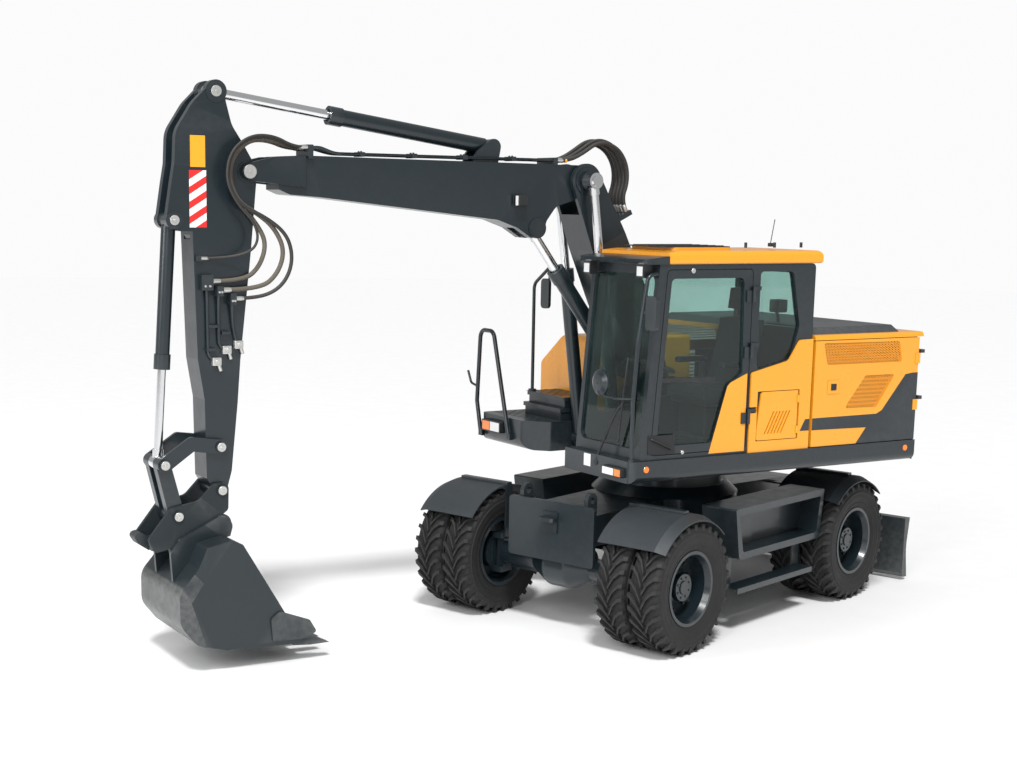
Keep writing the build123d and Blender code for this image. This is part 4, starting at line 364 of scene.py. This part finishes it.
def settle(name, shape, body, slot, *materials):
    """Turn a bmesh into a piece that rides on a body. The slot argument is not used."""
    mesh = bpy.data.meshes.new(name)
    bmesh.ops.recalc_face_normals(shape, faces=shape.faces)
    shape.to_mesh(mesh)
    shape.free()
    for material in materials:
        mesh.materials.append(material)
    obj = bpy.data.objects.new(name, mesh)
    scene.collection.objects.link(obj)
    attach(obj, body)
    return obj


def tyre_shape(shape, centre):
    """Carcass and lugs of one tyre about its centre."""
    profile = [  # radius and half width, from the bead to the crown
        (BEAD_R, BEAD_HALF), (BEAD_R + 0.016, BEAD_HALF + 0.004), (0.33, 0.122), (0.345, 0.129), (0.352, 0.127),
        (BELLY_R, TYRE_HALF), (0.43, TYRE_HALF), (0.437, TYRE_HALF + 0.003), (0.447, TYRE_HALF + 0.003),
        (0.452, 0.137), (0.478, 0.13), (0.492, 0.119), (CROWN_R, 0.09), (CROWN_R + 0.002, 0.0),
    ]
    rows = profile + [(r, -w) for r, w in reversed(profile[:-1])]

    def at(radius, width, angle):
        spot = Vector((radius * cos(angle), width, radius * sin(angle)))
        return shape.verts.new(centre + UNDERCARRIAGE_TURN @ spot)

    rings = []
    for i in range(TYRE_SIDES):
        angle = 2 * pi * i / TYRE_SIDES
        rings.append([at(r, w, angle) for r, w in rows])
    for i in range(TYRE_SIDES):
        near, far = rings[i], rings[(i + 1) % TYRE_SIDES]
        for k in range(len(rows) - 1):
            shape.faces.new((near[k], far[k], far[k + 1], near[k + 1]))
    for i in range(LUGS):
        for side in (-1, 1):
            start = 2 * pi * (i + (0.25 if side > 0 else -0.25)) / LUGS
            loops = []
            for w, lean, share, top, low in LUG_STEPS:
                half = share * 0.5 * 2 * pi / LUGS * 0.5
                middle = start + lean / TYRE_R * 2
                corners = ((low, -half * 1.15), (top, -half), (top, half), (low, half * 1.15))
                loops.append([at(r, side * w, middle + a) for r, a in corners])
            for low, high in zip(loops, loops[1:]):
                for k in range(3):
                    shape.faces.new((low[k], low[k + 1], high[k + 1], high[k]))
            shape.faces.new(loops[0])
            shape.faces.new(loops[-1])


for end in ("front", "rear"):
    for hand, side in (("left", 1), ("right", -1)):
        low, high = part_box("tyres_%s_%s" % (end, hand))
        middle = (Vector(low) + Vector(high)) / 2
        out = UNDERCARRIAGE_TURN @ Vector((0, TWIN_OFFSET, 0))
        shape = bmesh.new()
        for offset in (-1, 1):
            tyre_shape(shape, middle + offset * out)
        piece = settle("tyre_pair_%s_%s" % (end, hand), shape, "wheel_%s_%s" % (end, hand), "tyre", rubber)
        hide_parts("tyres_%s_%s" % (end, hand))

# ---- hoses -----------------------------------------------------------------
# Hydraulic hoses: a row behind the knuckle, and a bundle from the boom's
# tip down the left of the arm, each along its own route.
hose_rubber = finish(
    "hose_rubber", (0.028, 0.026, 0.024),
    Roughness=0.55, Grain=0.5, Grain_scale=340.0, Wear=0.0, Dust=0.2,
)
sleeve = finish(
    "hose_sleeve", (0.11, 0.095, 0.075),
    Roughness=0.75, Grain=0.6, Grain_scale=500.0, Wear=0.0, Dust=0.2,
)
KNUCKLE_HOSES, KNUCKLE_HOSE_R = 5, 17
KNUCKLE_ROUTE = (  # x, z in mm, and 1 where every second hose rises
    (1302, 3812, 0), (1190, 3812, 0), (1060, 3862, 1), (885, 3975, 1), (705, 3935, 1), (600, 3810, 0), (580, 3650, 0),
    (636.7, 3506.3, 0), (588.8, 3407.7, 0),
)
ARM_ROUTES = (  # radius and points in mm
    (17, (
        (3540, 30, 3845), (3660, 30, 3845), (3830, 70, 3898), (4012, 144, 3890), (4140, 144, 3770),
        (4165, 144, 3590), (4080, 144, 3430), (3950, 144, 3290), (3872, 144, 3150), (3930, 144, 2975),
        (4060, 144, 2876), (4301.7, 144, 2876),
    )),
    (17, (
        (3540, 75, 3847), (3660, 75, 3847), (3830, 114, 3908), (4022, 181, 3903), (4160, 181, 3790),
        (4190, 181, 3600), (4105, 181, 3440), (3955, 181, 3362), (3828, 181, 3265), (3742, 181, 3100),
        (3800, 181, 2925), (3945, 181, 2815), (4234.7, 181, 2815),
    )),
    (14, (
        (3540, 112, 3850), (3655, 112, 3850), (3830, 160, 3918), (4034, 216, 3913), (4180, 216, 3800),
        (4212, 216, 3605), (4120, 216, 3430), (3900, 216, 3335), (3745, 216, 3220), (3695, 216, 3070),
        (3722, 216, 2925), (3815, 216, 2812), (3960, 180, 2752), (4134.7, 180, 2752),
    )),
    (10, (
        (3540, 146, 3852), (3650, 146, 3852), (3830, 194, 3926), (4040, 246, 3923), (4195, 246, 3805),
        (4232, 246, 3605), (4150, 246, 3440), (4010, 246, 3300), (3978, 246, 3180), (4035, 236, 3088),
        (4205, 140, 3042), (4389.7, 140, 3042),
    )),
)


def knuckle_row(i):
    """Route of hose i in the row behind the knuckle; every second one stands higher."""
    return [(x, (i - 2) * 48, z + 20 * (i % 2) * rises) for x, z, rises in KNUCKLE_ROUTE]


def curve_length(obj):
    """Length of a curve's own line, read with its bevel off."""
    depth, obj.data.bevel_depth = obj.data.bevel_depth, 0
    line = bpy.data.meshes.new_from_object(obj)
    obj.data.bevel_depth = depth
    spots = [vert.co for vert in line.vertices]
    return sum((spots[edge.vertices[0]] - spots[edge.vertices[1]]).length for edge in line.edges)


def hose(name, points, radius, material):
    """Cord along points, both in mm, that stands for its share of the plain hoses."""
    curve = bpy.data.curves.new(name, "CURVE")
    curve.dimensions = "3D"
    curve.bevel_depth = 1.0
    curve.bevel_resolution = 4
    curve.resolution_u = 10
    spline = curve.splines.new("NURBS")
    spline.points.add(len(points) - 1)
    for spot, point in zip(spline.points, points):
        spot.co = (*[v / 1000 for v in point], 1)
        spot.radius = radius / 1000
    spline.order_u = 3
    spline.use_endpoint_u = True
    curve.materials.append(material)
    obj = bpy.data.objects.new(name, curve)
    scene.collection.objects.link(obj)
    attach(obj, "upper_boom")
    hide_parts("boom_hoses")
    curve_length(obj)


for i, (radius, points) in enumerate(ARM_ROUTES):
    hose("arm_hose_%d" % (i + 1), points, radius, sleeve if i in (0, 1) else hose_rubber)
for i in range(KNUCKLE_HOSES):
    hose("knuckle_hose_%d" % (i + 1), knuckle_row(i), KNUCKLE_HOSE_R, hose_rubber)

# ---- operator's seat -------------------------------------------------------
# A crowned cushion and backrest with side bolsters and a head rest, in cloth.
PAD_ROWS, PAD_DRAWN_IN = 5, 0.94
cloth = finish(
    "seat_cloth", (0.02, 0.021, 0.024),
    Roughness=0.85, Grain=0.15, Grain_scale=900.0, Wear=0.0, Dust=0.0,
)


def prism(shape, corners, along, index=0):
    """Flat outline given as points, thickened by the vector along."""
    base = [shape.verts.new(p) for p in corners]
    top = [shape.verts.new(Vector(p) + Vector(along)) for p in corners]
    count = len(corners)
    faces = [shape.faces.new(base), shape.faces.new(top)]
    for i in range(count):
        j = (i + 1) % count
        faces.append(shape.faces.new((base[i], base[j], top[j], top[i])))
    for face in faces:
        face.material_index = index
    return faces


def block(shape, low, high, round_by=0.004, index=0):
    """Box between two corners with its edges rounded."""
    x0, y0, z0 = low
    x1, y1, z1 = high
    base = [(x0, y0, z0), (x1, y0, z0), (x1, y1, z0), (x0, y1, z0)]
    faces = prism(shape, base, (0, 0, z1 - z0), index)
    edges = list({edge for face in faces for edge in face.edges})
    bmesh.ops.bevel(shape, geom=edges, offset=round_by, segments=2, affect="EDGES", profile=0.5, material=-1)


def drum(shape, start, end, radius, sides=24, index=0, edge=0.12):
    """Round bar from start to end with chamfered rims."""
    start, end = Vector(start), Vector(end)
    along = end - start
    turn = along.to_track_quat("Z", "Y").to_matrix()
    step = min(radius * edge, along.length * 0.3)
    rows = (
        (0, radius - step), (step, radius), (along.length - step, radius), (along.length, radius - step),
    )
    rings = []
    for z, r in rows:
        ring = []
        for i in range(sides):
            angle = 2 * pi * i / sides
            ring.append(shape.verts.new(start + turn @ Vector((r * cos(angle), r * sin(angle), z))))
        rings.append(ring)
    faces = [shape.faces.new(rings[0]), shape.faces.new(rings[-1])]
    for low, high in zip(rings, rings[1:]):
        for i in range(sides):
            j = (i + 1) % sides
            faces.append(shape.faces.new((low[i], low[j], high[j], high[i])))
    for face in faces:
        face.material_index = index


def padded_block(shape, low, high, lean=0.0, crown=0.02):
    """Grid box with crowned faces, leaning back by lean over its height."""
    rows = PAD_ROWS
    verts = {}
    for i in range(rows):
        for j in range(rows):
            for k in range(rows):
                if 0 < i < rows - 1 and 0 < j < rows - 1 and 0 < k < rows - 1:
                    continue
                u, v, w = (n / (rows - 1) * 2 - 1 for n in (i, j, k))
                bulge = [1 + crown * 4 * (1 - a * a) * (1 - b * b) for a, b in ((v, w), (u, w), (u, v))]
                spot = []
                for n, (t, lo, hi) in enumerate(zip((u, v, w), low, high)):
                    spot.append((lo + hi) / 2 + t * bulge[n] * (hi - lo) / 2 * PAD_DRAWN_IN)
                spot[0] -= lean * (w + 1) / 2
                verts[i, j, k] = shape.verts.new(spot)
    for a in range(rows - 1):
        for b in range(rows - 1):
            for fixed in (0, rows - 1):
                quads = (
                    [(fixed, a, b), (fixed, a + 1, b), (fixed, a + 1, b + 1), (fixed, a, b + 1)],
                    [(a, fixed, b), (a + 1, fixed, b), (a + 1, fixed, b + 1), (a, fixed, b + 1)],
                    [(a, b, fixed), (a + 1, b, fixed), (a + 1, b + 1, fixed), (a, b + 1, fixed)],
                )
                for quad in quads:
                    shape.faces.new([verts[q] for q in quad])


SEAT = ((-0.09, 0.525, 1.9), (0.44, 1.025, 2.02))
shape = bmesh.new()
padded_block(shape, *SEAT)
padded_block(shape, (-0.1, 0.555, 2.0), (0.03, 0.995, 2.56), lean=0.11)
for y in (0.545, 0.965):
    padded_block(shape, (-0.02, y, 2.01), (0.42, y + 0.05, 2.05))
padded_block(shape, (-0.18, 0.64, 2.62), (-0.09, 0.91, 2.8), lean=0.02)
seat_pad = settle("seat_cushions", shape, "upper", "seat", cloth)
shape = bmesh.new()
block(shape, (-0.03, 0.575, 1.53), (0.38, 0.975, 1.6), 0.01)
block(shape, (0.0, 0.6, 1.6), (0.35, 0.95, 1.86), 0.02)
block(shape, (-0.05, 0.55, 1.86), (0.4, 1.0, 1.9), 0.01)
for y in (0.72, 0.83):
    drum(shape, (-0.135, y, 2.54), (-0.14, y, 2.64), 0.008)
for y in (0.457, 1.027):
    block(shape, (0.02, y, 2.17), (0.3, y + 0.066, 2.22), 0.015)
    block(shape, (-0.02, y, 1.98), (0.04, y + 0.066, 2.2), 0.015)
seat_base = settle("seat_base", shape, "upper", "seat", black)
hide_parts("seat")
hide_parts("seat")

# ---- markings on the arm ---------------------------------------------------
# A slanted red and white stripe and a blank yellow plate above it, on both
# faces of the arm.
STRIPE = ((4.332, 3.262), (4.462, 3.262), (4.462, 3.668), (4.332, 3.668))
LABEL = ((4.338, 3.69), (4.452, 3.69), (4.452, 3.912), (4.338, 3.912))
STRIPE_PITCH = 0.105
STRIPE_LEAN = 0.62


def side_plate(shape, corners, y, thick, index=0):
    """Flat piece on a side face, its corners given as (x, z)."""
    return prism(shape, [(x, y, z) for x, z in corners], (0, thick, 0), index)


for hand, y, thick in (("left", 0.1212, 0.0015), ("right", -0.1212, -0.0015)):
    shape = bmesh.new()
    side_plate(shape, STRIPE, y, thick)
    for k in range(-2, 9):
        at = Vector((STRIPE[0][0], y, STRIPE[0][1] + k * STRIPE_PITCH / 2))
        whole = shape.verts[:] + shape.edges[:] + shape.faces[:]
        bmesh.ops.bisect_plane(shape, geom=whole, plane_co=at, plane_no=(STRIPE_LEAN, 0, 1))
    for face in shape.faces:
        middle = face.calc_center_median()
        rise = middle.z - STRIPE[0][1] + STRIPE_LEAN * (middle.x - STRIPE[0][0])
        band = rise / (STRIPE_PITCH / 2)
        face.material_index = int(band // 1) % 2
    side_plate(shape, LABEL, y, thick, 2)
    settle("arm_markings_" + hand, shape, "arm", "yellow", red, white, yellow)

# ---- pipes on the gear -----------------------------------------------------
# Steel pipes along the boom's top between the two rows of hoses, and pipes
# with valve blocks down the arm's left face.
BOOM_PIPES = (  # y at the tip, y at the knuckle, z at the tip
    (0.03, -0.048, 3.845), (0.075, 0.0, 3.847), (0.112, 0.048, 3.85), (0.146, 0.096, 3.852),
)


def tubing(shape, points, radius, index=0, sides=10, soft=0.05):
    """Bent round pipe: straight runs joined by short bends."""
    line = [Vector(p) for p in points]
    path = [line[0]]
    for before, corner, after in zip(line, line[1:], line[2:]):
        back, on = before - corner, after - corner
        cut = min(soft, back.length * 0.45, on.length * 0.45)
        start, end = corner + back.normalized() * cut, corner + on.normalized() * cut
        path += [start.lerp(corner, t).lerp(corner.lerp(end, t), t) for t in (0, 0.25, 0.5, 0.75, 1)]
    path.append(line[-1])
    rings = []
    for i, spot in enumerate(path):
        along = path[min(i + 1, len(path) - 1)] - path[max(i - 1, 0)]
        turn = along.to_track_quat("Z", "Y").to_matrix()
        if rings:
            side = side - along.normalized() * side.dot(along.normalized())
        else:
            side = turn @ Vector((1, 0, 0))
        side.normalize()
        other = along.normalized().cross(side)
        ring = []
        for k in range(sides):
            angle = 2 * pi * k / sides
            ring.append(shape.verts.new(spot + radius * (cos(angle) * side + sin(angle) * other)))
        rings.append(ring)
    faces = [shape.faces.new(rings[0]), shape.faces.new(rings[-1])]
    for low, high in zip(rings, rings[1:]):
        for k in range(sides):
            j = (k + 1) % sides
            faces.append(shape.faces.new((low[k], low[j], high[j], high[k])))
    for face in faces:
        face.material_index = index


shape = bmesh.new()
for tip_y, knuckle_y, tip_z in BOOM_PIPES:
    run_y = min(tip_y, 0.108)
    run = (
        (1.342, knuckle_y, 3.81), (1.5, run_y, 3.81), (3.3, run_y, 3.812),
        (3.44, tip_y, tip_z), (3.5, tip_y, tip_z),
    )
    tubing(shape, run, 0.013)
for x in (1.7, 2.15, 2.6, 3.05):
    block(shape, (x, 0.005, 3.795), (x + 0.04, 0.124, 3.83), 0.003)
    for y in (0.05, 0.093):
        drum(shape, (x + 0.02, y, 3.828), (x + 0.02, y, 3.838), 0.008, 8)
settle("boom_pipes", shape, "upper_boom", "steel", steel)
shape = bmesh.new()
ARM_PIPES = (
    ((4.347, 0.145, 2.812), (4.342, 0.14, 2.7), (4.339, 0.138, 2.342), (4.285, 0.138, 2.29)),
    ((4.26, 0.16, 2.77), (4.256, 0.14, 2.66), (4.252, 0.138, 2.412), (4.205, 0.138, 2.374)),
    ((4.157, 0.16, 2.705), (4.15, 0.14, 2.62), (4.141, 0.138, 2.53), (4.112, 0.138, 2.41)),
)
for path in ARM_PIPES:
    tubing(shape, path, 0.0125)
    x, y, z = path[-1]
    block(shape, (x - 0.045, 0.122, z - 0.03), (x + 0.025, 0.16, z + 0.03), 0.006, 1)
    drum(shape, (x - 0.01, 0.158, z), (x - 0.01, 0.18, z), 0.016, 12, 1)
    drum(shape, (x - 0.03, 0.14, z - 0.025), (x - 0.045, 0.14, z - 0.07), 0.013, 10, 1)
for x, z in ((4.3, 2.55), (4.2, 2.5), (4.32, 2.38)):
    block(shape, (x - 0.035, 0.122, z - 0.012), (x + 0.035, 0.157, z + 0.012), 0.004)
for x0, x1, z0, y in ((4.302, 4.392, 2.812, 0.168), (4.235, 4.285, 2.77, 0.2), (4.135, 4.18, 2.705, 0.198)):
    for share in (0.3, 0.7):
        x = x0 + (x1 - x0) * share
        drum(shape, (x, y - 0.001, z0 + 0.03), (x, y + 0.009, z0 + 0.03), 0.009, 6, 1)
settle("arm_pipes", shape, "arm", "steel", steel, zinc)

# ---- hose ends -------------------------------------------------------------
# Pressed sleeves where each hose meets its fitting, with yellow tags on the
# row behind the knuckle.
shape = bmesh.new()
routes = [*ARM_ROUTES, *((KNUCKLE_HOSE_R, knuckle_row(i)) for i in range(KNUCKLE_HOSES))]
for i, (radius, points) in enumerate(routes):
    for end, onward in ((points[0], points[1]), (points[-1], points[-2])):
        end, onward = Vector(end) / 1000, Vector(onward) / 1000
        along = (onward - end).normalized()
        drum(shape, end + along * 0.001, end + along * 0.05, (radius + 3) / 1000, 14)
        drum(shape, end + along * 0.0505, end + along * 0.062, (radius + 1) / 1000, 14)
    if i >= len(ARM_ROUTES):
        end, onward = Vector(points[0]) / 1000, Vector(points[1]) / 1000
        along = (onward - end).normalized()
        drum(shape, end + along * 0.08, end + along * 0.1, (radius + 2) / 1000, 14, 1)
settle("hose_sleeves", shape, "upper_boom", "hose", zinc, yellow)

# ---- pin caps --------------------------------------------------------------
# Bright end plates with a retaining bolt on the pins of the working gear.
PIN_CAPS = (
    ("upper_boom", "steel", ((4.012, 3.665, 0.174, 0.05),)),
    ("lower_boom", "steel", ((1.04, 3.65, 0.18, 0.06),)),
    ("rocker", "steel", ((4.254, 1.657, 0.174, 0.034), (4.692, 1.547, 0.174, 0.034))),
    ("bucket", "iron", ((4.249, 1.33, 0.174, 0.034), (4.594, 1.159, 0.174, 0.034))),
    ("arm", "steel", ((4.249, 4.227, 0.127, 0.04), (4.577, 3.313, 0.127, 0.036))),
)
for body, slot, caps in PIN_CAPS:
    shape = bmesh.new()
    for x, z, y, radius in caps:
        for side in (1, -1):
            drum(shape, (x, side * y, z), (x, side * (y + 0.006), z), radius, 28)
            drum(shape, (x, side * (y + 0.006), z), (x, side * (y + 0.016), z), 0.011, 6)
            lock_x = x + radius * 0.62
            drum(shape, (lock_x, side * (y + 0.006), z), (lock_x, side * (y + 0.011), z), 0.006, 6)
    settle("pin_caps_" + body, shape, body, slot, zinc)

# ---- wheels ----------------------------------------------------------------
# Wheel nuts on the outer rim's disc and a bolted cap on each hub.
WHEEL_BOLTS = (  # count, circle's radius, place outwards, size, height
    (10, 0.196, -0.053, 0.014, 0.024),
    (8, 0.082, 0.042, 0.009, 0.008),
)
for end in ("front", "rear"):
    for hand, side in (("left", 1), ("right", -1)):
        low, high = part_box("tyres_%s_%s" % (end, hand))
        middle = (Vector(low) + Vector(high)) / 2
        hub = middle + UNDERCARRIAGE_TURN @ Vector((0, side * TWIN_OFFSET, 0))
        shape = bmesh.new()
        for count, radius, out, size, tall in WHEEL_BOLTS:
            for i in range(count):
                angle = 2 * pi * (i + 0.5) / count
                spot = Vector((radius * cos(angle), side * out, radius * sin(angle)))
                foot = hub + UNDERCARRIAGE_TURN @ spot
                drum(shape, foot, foot + UNDERCARRIAGE_TURN @ Vector((0, side * tall, 0)), size, 6)
        face = hub + UNDERCARRIAGE_TURN @ Vector((0, side * 0.042, 0))
        drum(shape, face, face + UNDERCARRIAGE_TURN @ Vector((0, side * 0.01, 0)), 0.055, 24)
        settle("wheel_nuts_%s_%s" % (end, hand), shape, "wheel_%s_%s" % (end, hand), "steel", steel)

# ---- hood ------------------------------------------------------------------
# Dark band and rear field on both hood doors, lattice over the grilles, a
# recessed latch, and the rear camera on its stalk.
BAND = (
    (-0.552, 1.74), (-1.272, 1.742), (-1.334, 1.771), (-1.587, 2.067), (-1.671, 2.077), (-1.73, 2.077),
    (-1.73, 1.5), (-1.053, 1.5), (-1.161, 1.632), (-0.552, 1.641),
)
GRILLES = (
    ((-0.64, 2.36), (-1.497, 2.352), (-1.536, 2.178), (-0.688, 2.178)),
    ((-1.125, 2.074), (-1.465, 2.074), (-1.266, 1.8), (-0.902, 1.806)),
)
DOOR_FACE, LATCH_OUT, GRIP_OUT = 1.2322, 1.238, 1.242
LATTICE_PITCH, LATTICE_LEAN, LATTICE_MARGIN = 0.034, 0.55, 0.6
for hand, side in (("left", 1), ("right", -1)):
    shape = bmesh.new()
    side_plate(shape, BAND, side * DOOR_FACE, side * 0.0012, 1)
    near, far = sorted((side * DOOR_FACE, side * LATCH_OUT))
    block(shape, (-0.83, near, 1.935), (-0.7, far, 2.05), 0.004)
    near, far = sorted((side * LATCH_OUT, side * GRIP_OUT))
    block(shape, (-0.795, near, 1.965), (-0.735, far, 2.02), 0.002, 2)
    for corners in GRILLES:
        xs, zs = [c[0] for c in corners], [c[1] for c in corners]
        mesh_part = bmesh.new()
        for lean in (LATTICE_LEAN, -LATTICE_LEAN):
            start = min(xs) - LATTICE_MARGIN
            while start < max(xs) + LATTICE_MARGIN:
                foot = Vector((start, 0, min(zs)))
                head = Vector((start + (max(zs) - min(zs)) / lean, 0, max(zs)))
                across = Vector((0.006, 0, 0))
                y = side * (1.2255 if lean > 0 else 1.2225)
                ends = (foot - across, foot + across, head + across, head - across)
                prism(mesh_part, [Vector((p.x, y, p.z)) for p in ends], (0, side * 0.003, 0))
                start += LATTICE_PITCH
        centre = Vector((sum(xs) / 4, 0, sum(zs) / 4))
        for (x0, z0), (x1, z1) in zip(corners, corners[1:] + corners[:1]):
            normal = Vector((z1 - z0, 0, x0 - x1))
            if normal.dot(Vector((x0, 0, z0)) - centre) < 0:
                normal = -normal
            bmesh.ops.bisect_plane(
                mesh_part, geom=mesh_part.verts[:] + mesh_part.edges[:] + mesh_part.faces[:],
                plane_co=(x0, 0, z0), plane_no=normal, clear_outer=True,
            )
            bmesh.ops.holes_fill(mesh_part, edges=[e for e in mesh_part.edges if e.is_boundary], sides=0)
        lattice = bpy.data.meshes.new("lattice")
        mesh_part.to_mesh(lattice)
        mesh_part.free()
        shape.from_mesh(lattice)
    settle("hood_trim_" + hand, shape, "hood_door_" + hand, "yellow", yellow, steel, black)
shape = bmesh.new()
side_plate(shape, ((-0.421, 1.643), (-0.475, 1.738), (-0.52, 1.739), (-0.52, 1.642)), 1.2312, 0.001)
settle("band_tip", shape, "upper", "steel", steel)
HOOD_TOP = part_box("hood_top")[1][2]
shape = bmesh.new()
stalk = ((-0.78, 0.5, HOOD_TOP - 0.01), (-0.78, 0.5, HOOD_TOP + 0.1), (-0.75, 0.5, HOOD_TOP + 0.16))
tubing(shape, stalk, 0.014)
block(shape, (-0.83, 0.44, HOOD_TOP + 0.14), (-0.72, 0.56, HOOD_TOP + 0.25), 0.012)
drum(shape, (-0.829, 0.5, HOOD_TOP + 0.195), (-0.85, 0.5, HOOD_TOP + 0.195), 0.035, 20)
settle("rear_camera", shape, "upper", "lamp", black)

# ---- door ------------------------------------------------------------------
# The door's yellow rear corner, its recessed handle, a dark strip along the
# window's sill, and the latch plate.
shape = bmesh.new()
DOOR_CORNER = ((0.516, 1.512), (0.353, 2.044), (0.322, 2.075), (0.16, 2.14), (0.152, 2.14), (0.152, 1.512))
side_plate(shape, DOOR_CORNER, 1.2153, 0.0012)
block(shape, (0.86, 1.2153, 1.54), (1.125, 1.219, 1.69), 0.003, 1)
HANDLE = ((0.9, 1.219, 1.575), (0.92, 1.238, 1.585), (1.08, 1.238, 1.655), (1.1, 1.219, 1.665))
tubing(shape, HANDLE, 0.009, 1, 8, 0.02)
side_plate(shape, ((0.46, 2.09), (1.0, 2.1), (1.0, 2.135), (0.46, 2.125)), 1.1945, 0.001, 1)
drum(shape, (0.742, 1.2153, 2.965), (0.742, 1.222, 2.965), 0.02, 20, 2)
drum(shape, (0.78, 1.2153, 1.54), (0.78, 1.221, 1.54), 0.016, 20, 2)
settle("door_trim", shape, "cab_door", "steel", yellow, black, zinc)

# ---- cab front and roof ----------------------------------------------------
# Wiper, lamp lenses, the dark panel and antennas on the roof, corner markers
# and the blank number plate.
shape = bmesh.new()
tubing(shape, ((1.29, 0.766, 1.433), (1.275, 0.78, 1.52), (1.215, 0.92, 1.86), (1.18, 0.966, 1.93)), 0.011)
tubing(shape, ((1.225, 0.966, 1.62), (1.199, 0.966, 1.9), (1.155, 0.97, 2.281)), 0.008, 0, 8, 0.2)
drum(shape, (1.255, 0.766, 1.433), (1.3, 0.766, 1.433), 0.024, 20)
settle("wiper", shape, "upper", "steel", black)

shape = bmesh.new()
for y in (0.4, 1.11):
    block(shape, (1.1785, y - 0.036, 2.925), (1.184, y + 0.036, 2.998), 0.003)
DECK_LAMP_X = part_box("deck")[1][0]
block(shape, (DECK_LAMP_X + 0.0345, 0.905, 1.368), (DECK_LAMP_X + 0.04, 1.05, 1.424), 0.003)
block(shape, (DECK_LAMP_X + 0.0345, 1.06, 1.368), (DECK_LAMP_X + 0.04, 1.14, 1.424), 0.003, 1)
STEP_LAMP_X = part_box("right_steps")[1][0]
block(shape, (STEP_LAMP_X + 0.0485, -0.95, 1.462), (STEP_LAMP_X + 0.053, -0.8, 1.542), 0.003)
block(shape, (STEP_LAMP_X + 0.0485, -1.08, 1.462), (STEP_LAMP_X + 0.053, -0.96, 1.542), 0.003, 1)
for x, y in ((1.152, 1.2455), (-1.62, 1.2455)):
    drum(shape, (x, y - 0.0005, 1.43), (x, y + 0.006, 1.43), 0.026, 28, 1)
settle("lamp_lenses", shape, "upper", "lamp", white, orange)

shape = bmesh.new()
block(shape, (DECK_LAMP_X + 0.0005, 0.601, 1.385), (DECK_LAMP_X + 0.004, 0.692, 1.485), 0.001)
settle("blank_plate", shape, "upper", "steel", white)

ROOF_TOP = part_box("cab_roof")[1][2]
shape = bmesh.new()
block(shape, (0.25, 0.5, ROOF_TOP), (0.9, 1.05, ROOF_TOP + 0.008), 0.003)
for y in (0.6, 0.7, 0.8, 0.9, 1.0):
    block(shape, (0.28, y - 0.008, ROOF_TOP + 0.008), (0.87, y + 0.008, ROOF_TOP + 0.014), 0.002)
drum(shape, (-0.3, 0.9, ROOF_TOP), (-0.3, 0.9, ROOF_TOP + 0.03), 0.022, 16)
drum(shape, (-0.3, 0.9, ROOF_TOP + 0.03), (-0.37, 0.86, ROOF_TOP + 0.22), 0.004, 8)
for x, y in ((-0.45, 1.1), (-0.15, 1.12), (0.15, 1.12)):
    drum(shape, (x, y, ROOF_TOP - 0.002), (x, y, ROOF_TOP + 0.04), 0.012, 12)
settle("roof_fittings", shape, "upper", "steel", black)

# ---- right platform --------------------------------------------------------
# Raised bars of the anti-slip plate on the platform and both steps.
BAR_PITCH, BAR_HALF, ABOVE_ALL = 0.05, 0.012, 5
shape = bmesh.new()
(x0, y0, _), (x1, y1, _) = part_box("right_steps")
x_low, x_high, y_low, y_high = x0 + 0.04, x1 - 0.06, y0 + 0.06, y1 - 0.06
plate = nodes["right_steps"]
for i in range(int((x_high - x_low) / BAR_PITCH)):
    for j in range(int((y_high - y_low) / BAR_PITCH)):
        spot = Vector((x_low + i * BAR_PITCH, y_low + j * BAR_PITCH, ABOVE_ALL))
        hit, at, normal, _ = plate.ray_cast(plate.matrix_world.inverted() @ spot, Vector((0, 0, -1)))
        if not hit or normal.z < 0.9:
            continue
        lean = BAR_HALF if (i + j) % 2 else -BAR_HALF
        across = Vector((0.003, 0.003 if lean < 0 else -0.003, 0))
        foot = Vector((at.x - BAR_HALF, at.y - lean, at.z))
        head = Vector((at.x + BAR_HALF, at.y + lean, at.z))
        prism(shape, (foot - across, foot + across, head + across, head - across), (0, 0, 0.003))
settle("anti_slip", shape, "upper", "steel", steel)

# ---- work light ------------------------------------------------------------
# Square light on a bracket at the boom's left side.
shape = bmesh.new()
block(shape, (1.62, 0.121, 3.44), (1.72, 0.128, 3.54), 0.002)
block(shape, (1.64, 0.128, 3.46), (1.7, 0.15, 3.5), 0.004)
block(shape, (1.625, 0.15, 3.44), (1.715, 0.2, 3.53), 0.012)
block(shape, (1.7152, 0.157, 3.447), (1.719, 0.193, 3.523), 0.002, 1)
settle("boom_light", shape, "upper_boom", "lamp", black, white)
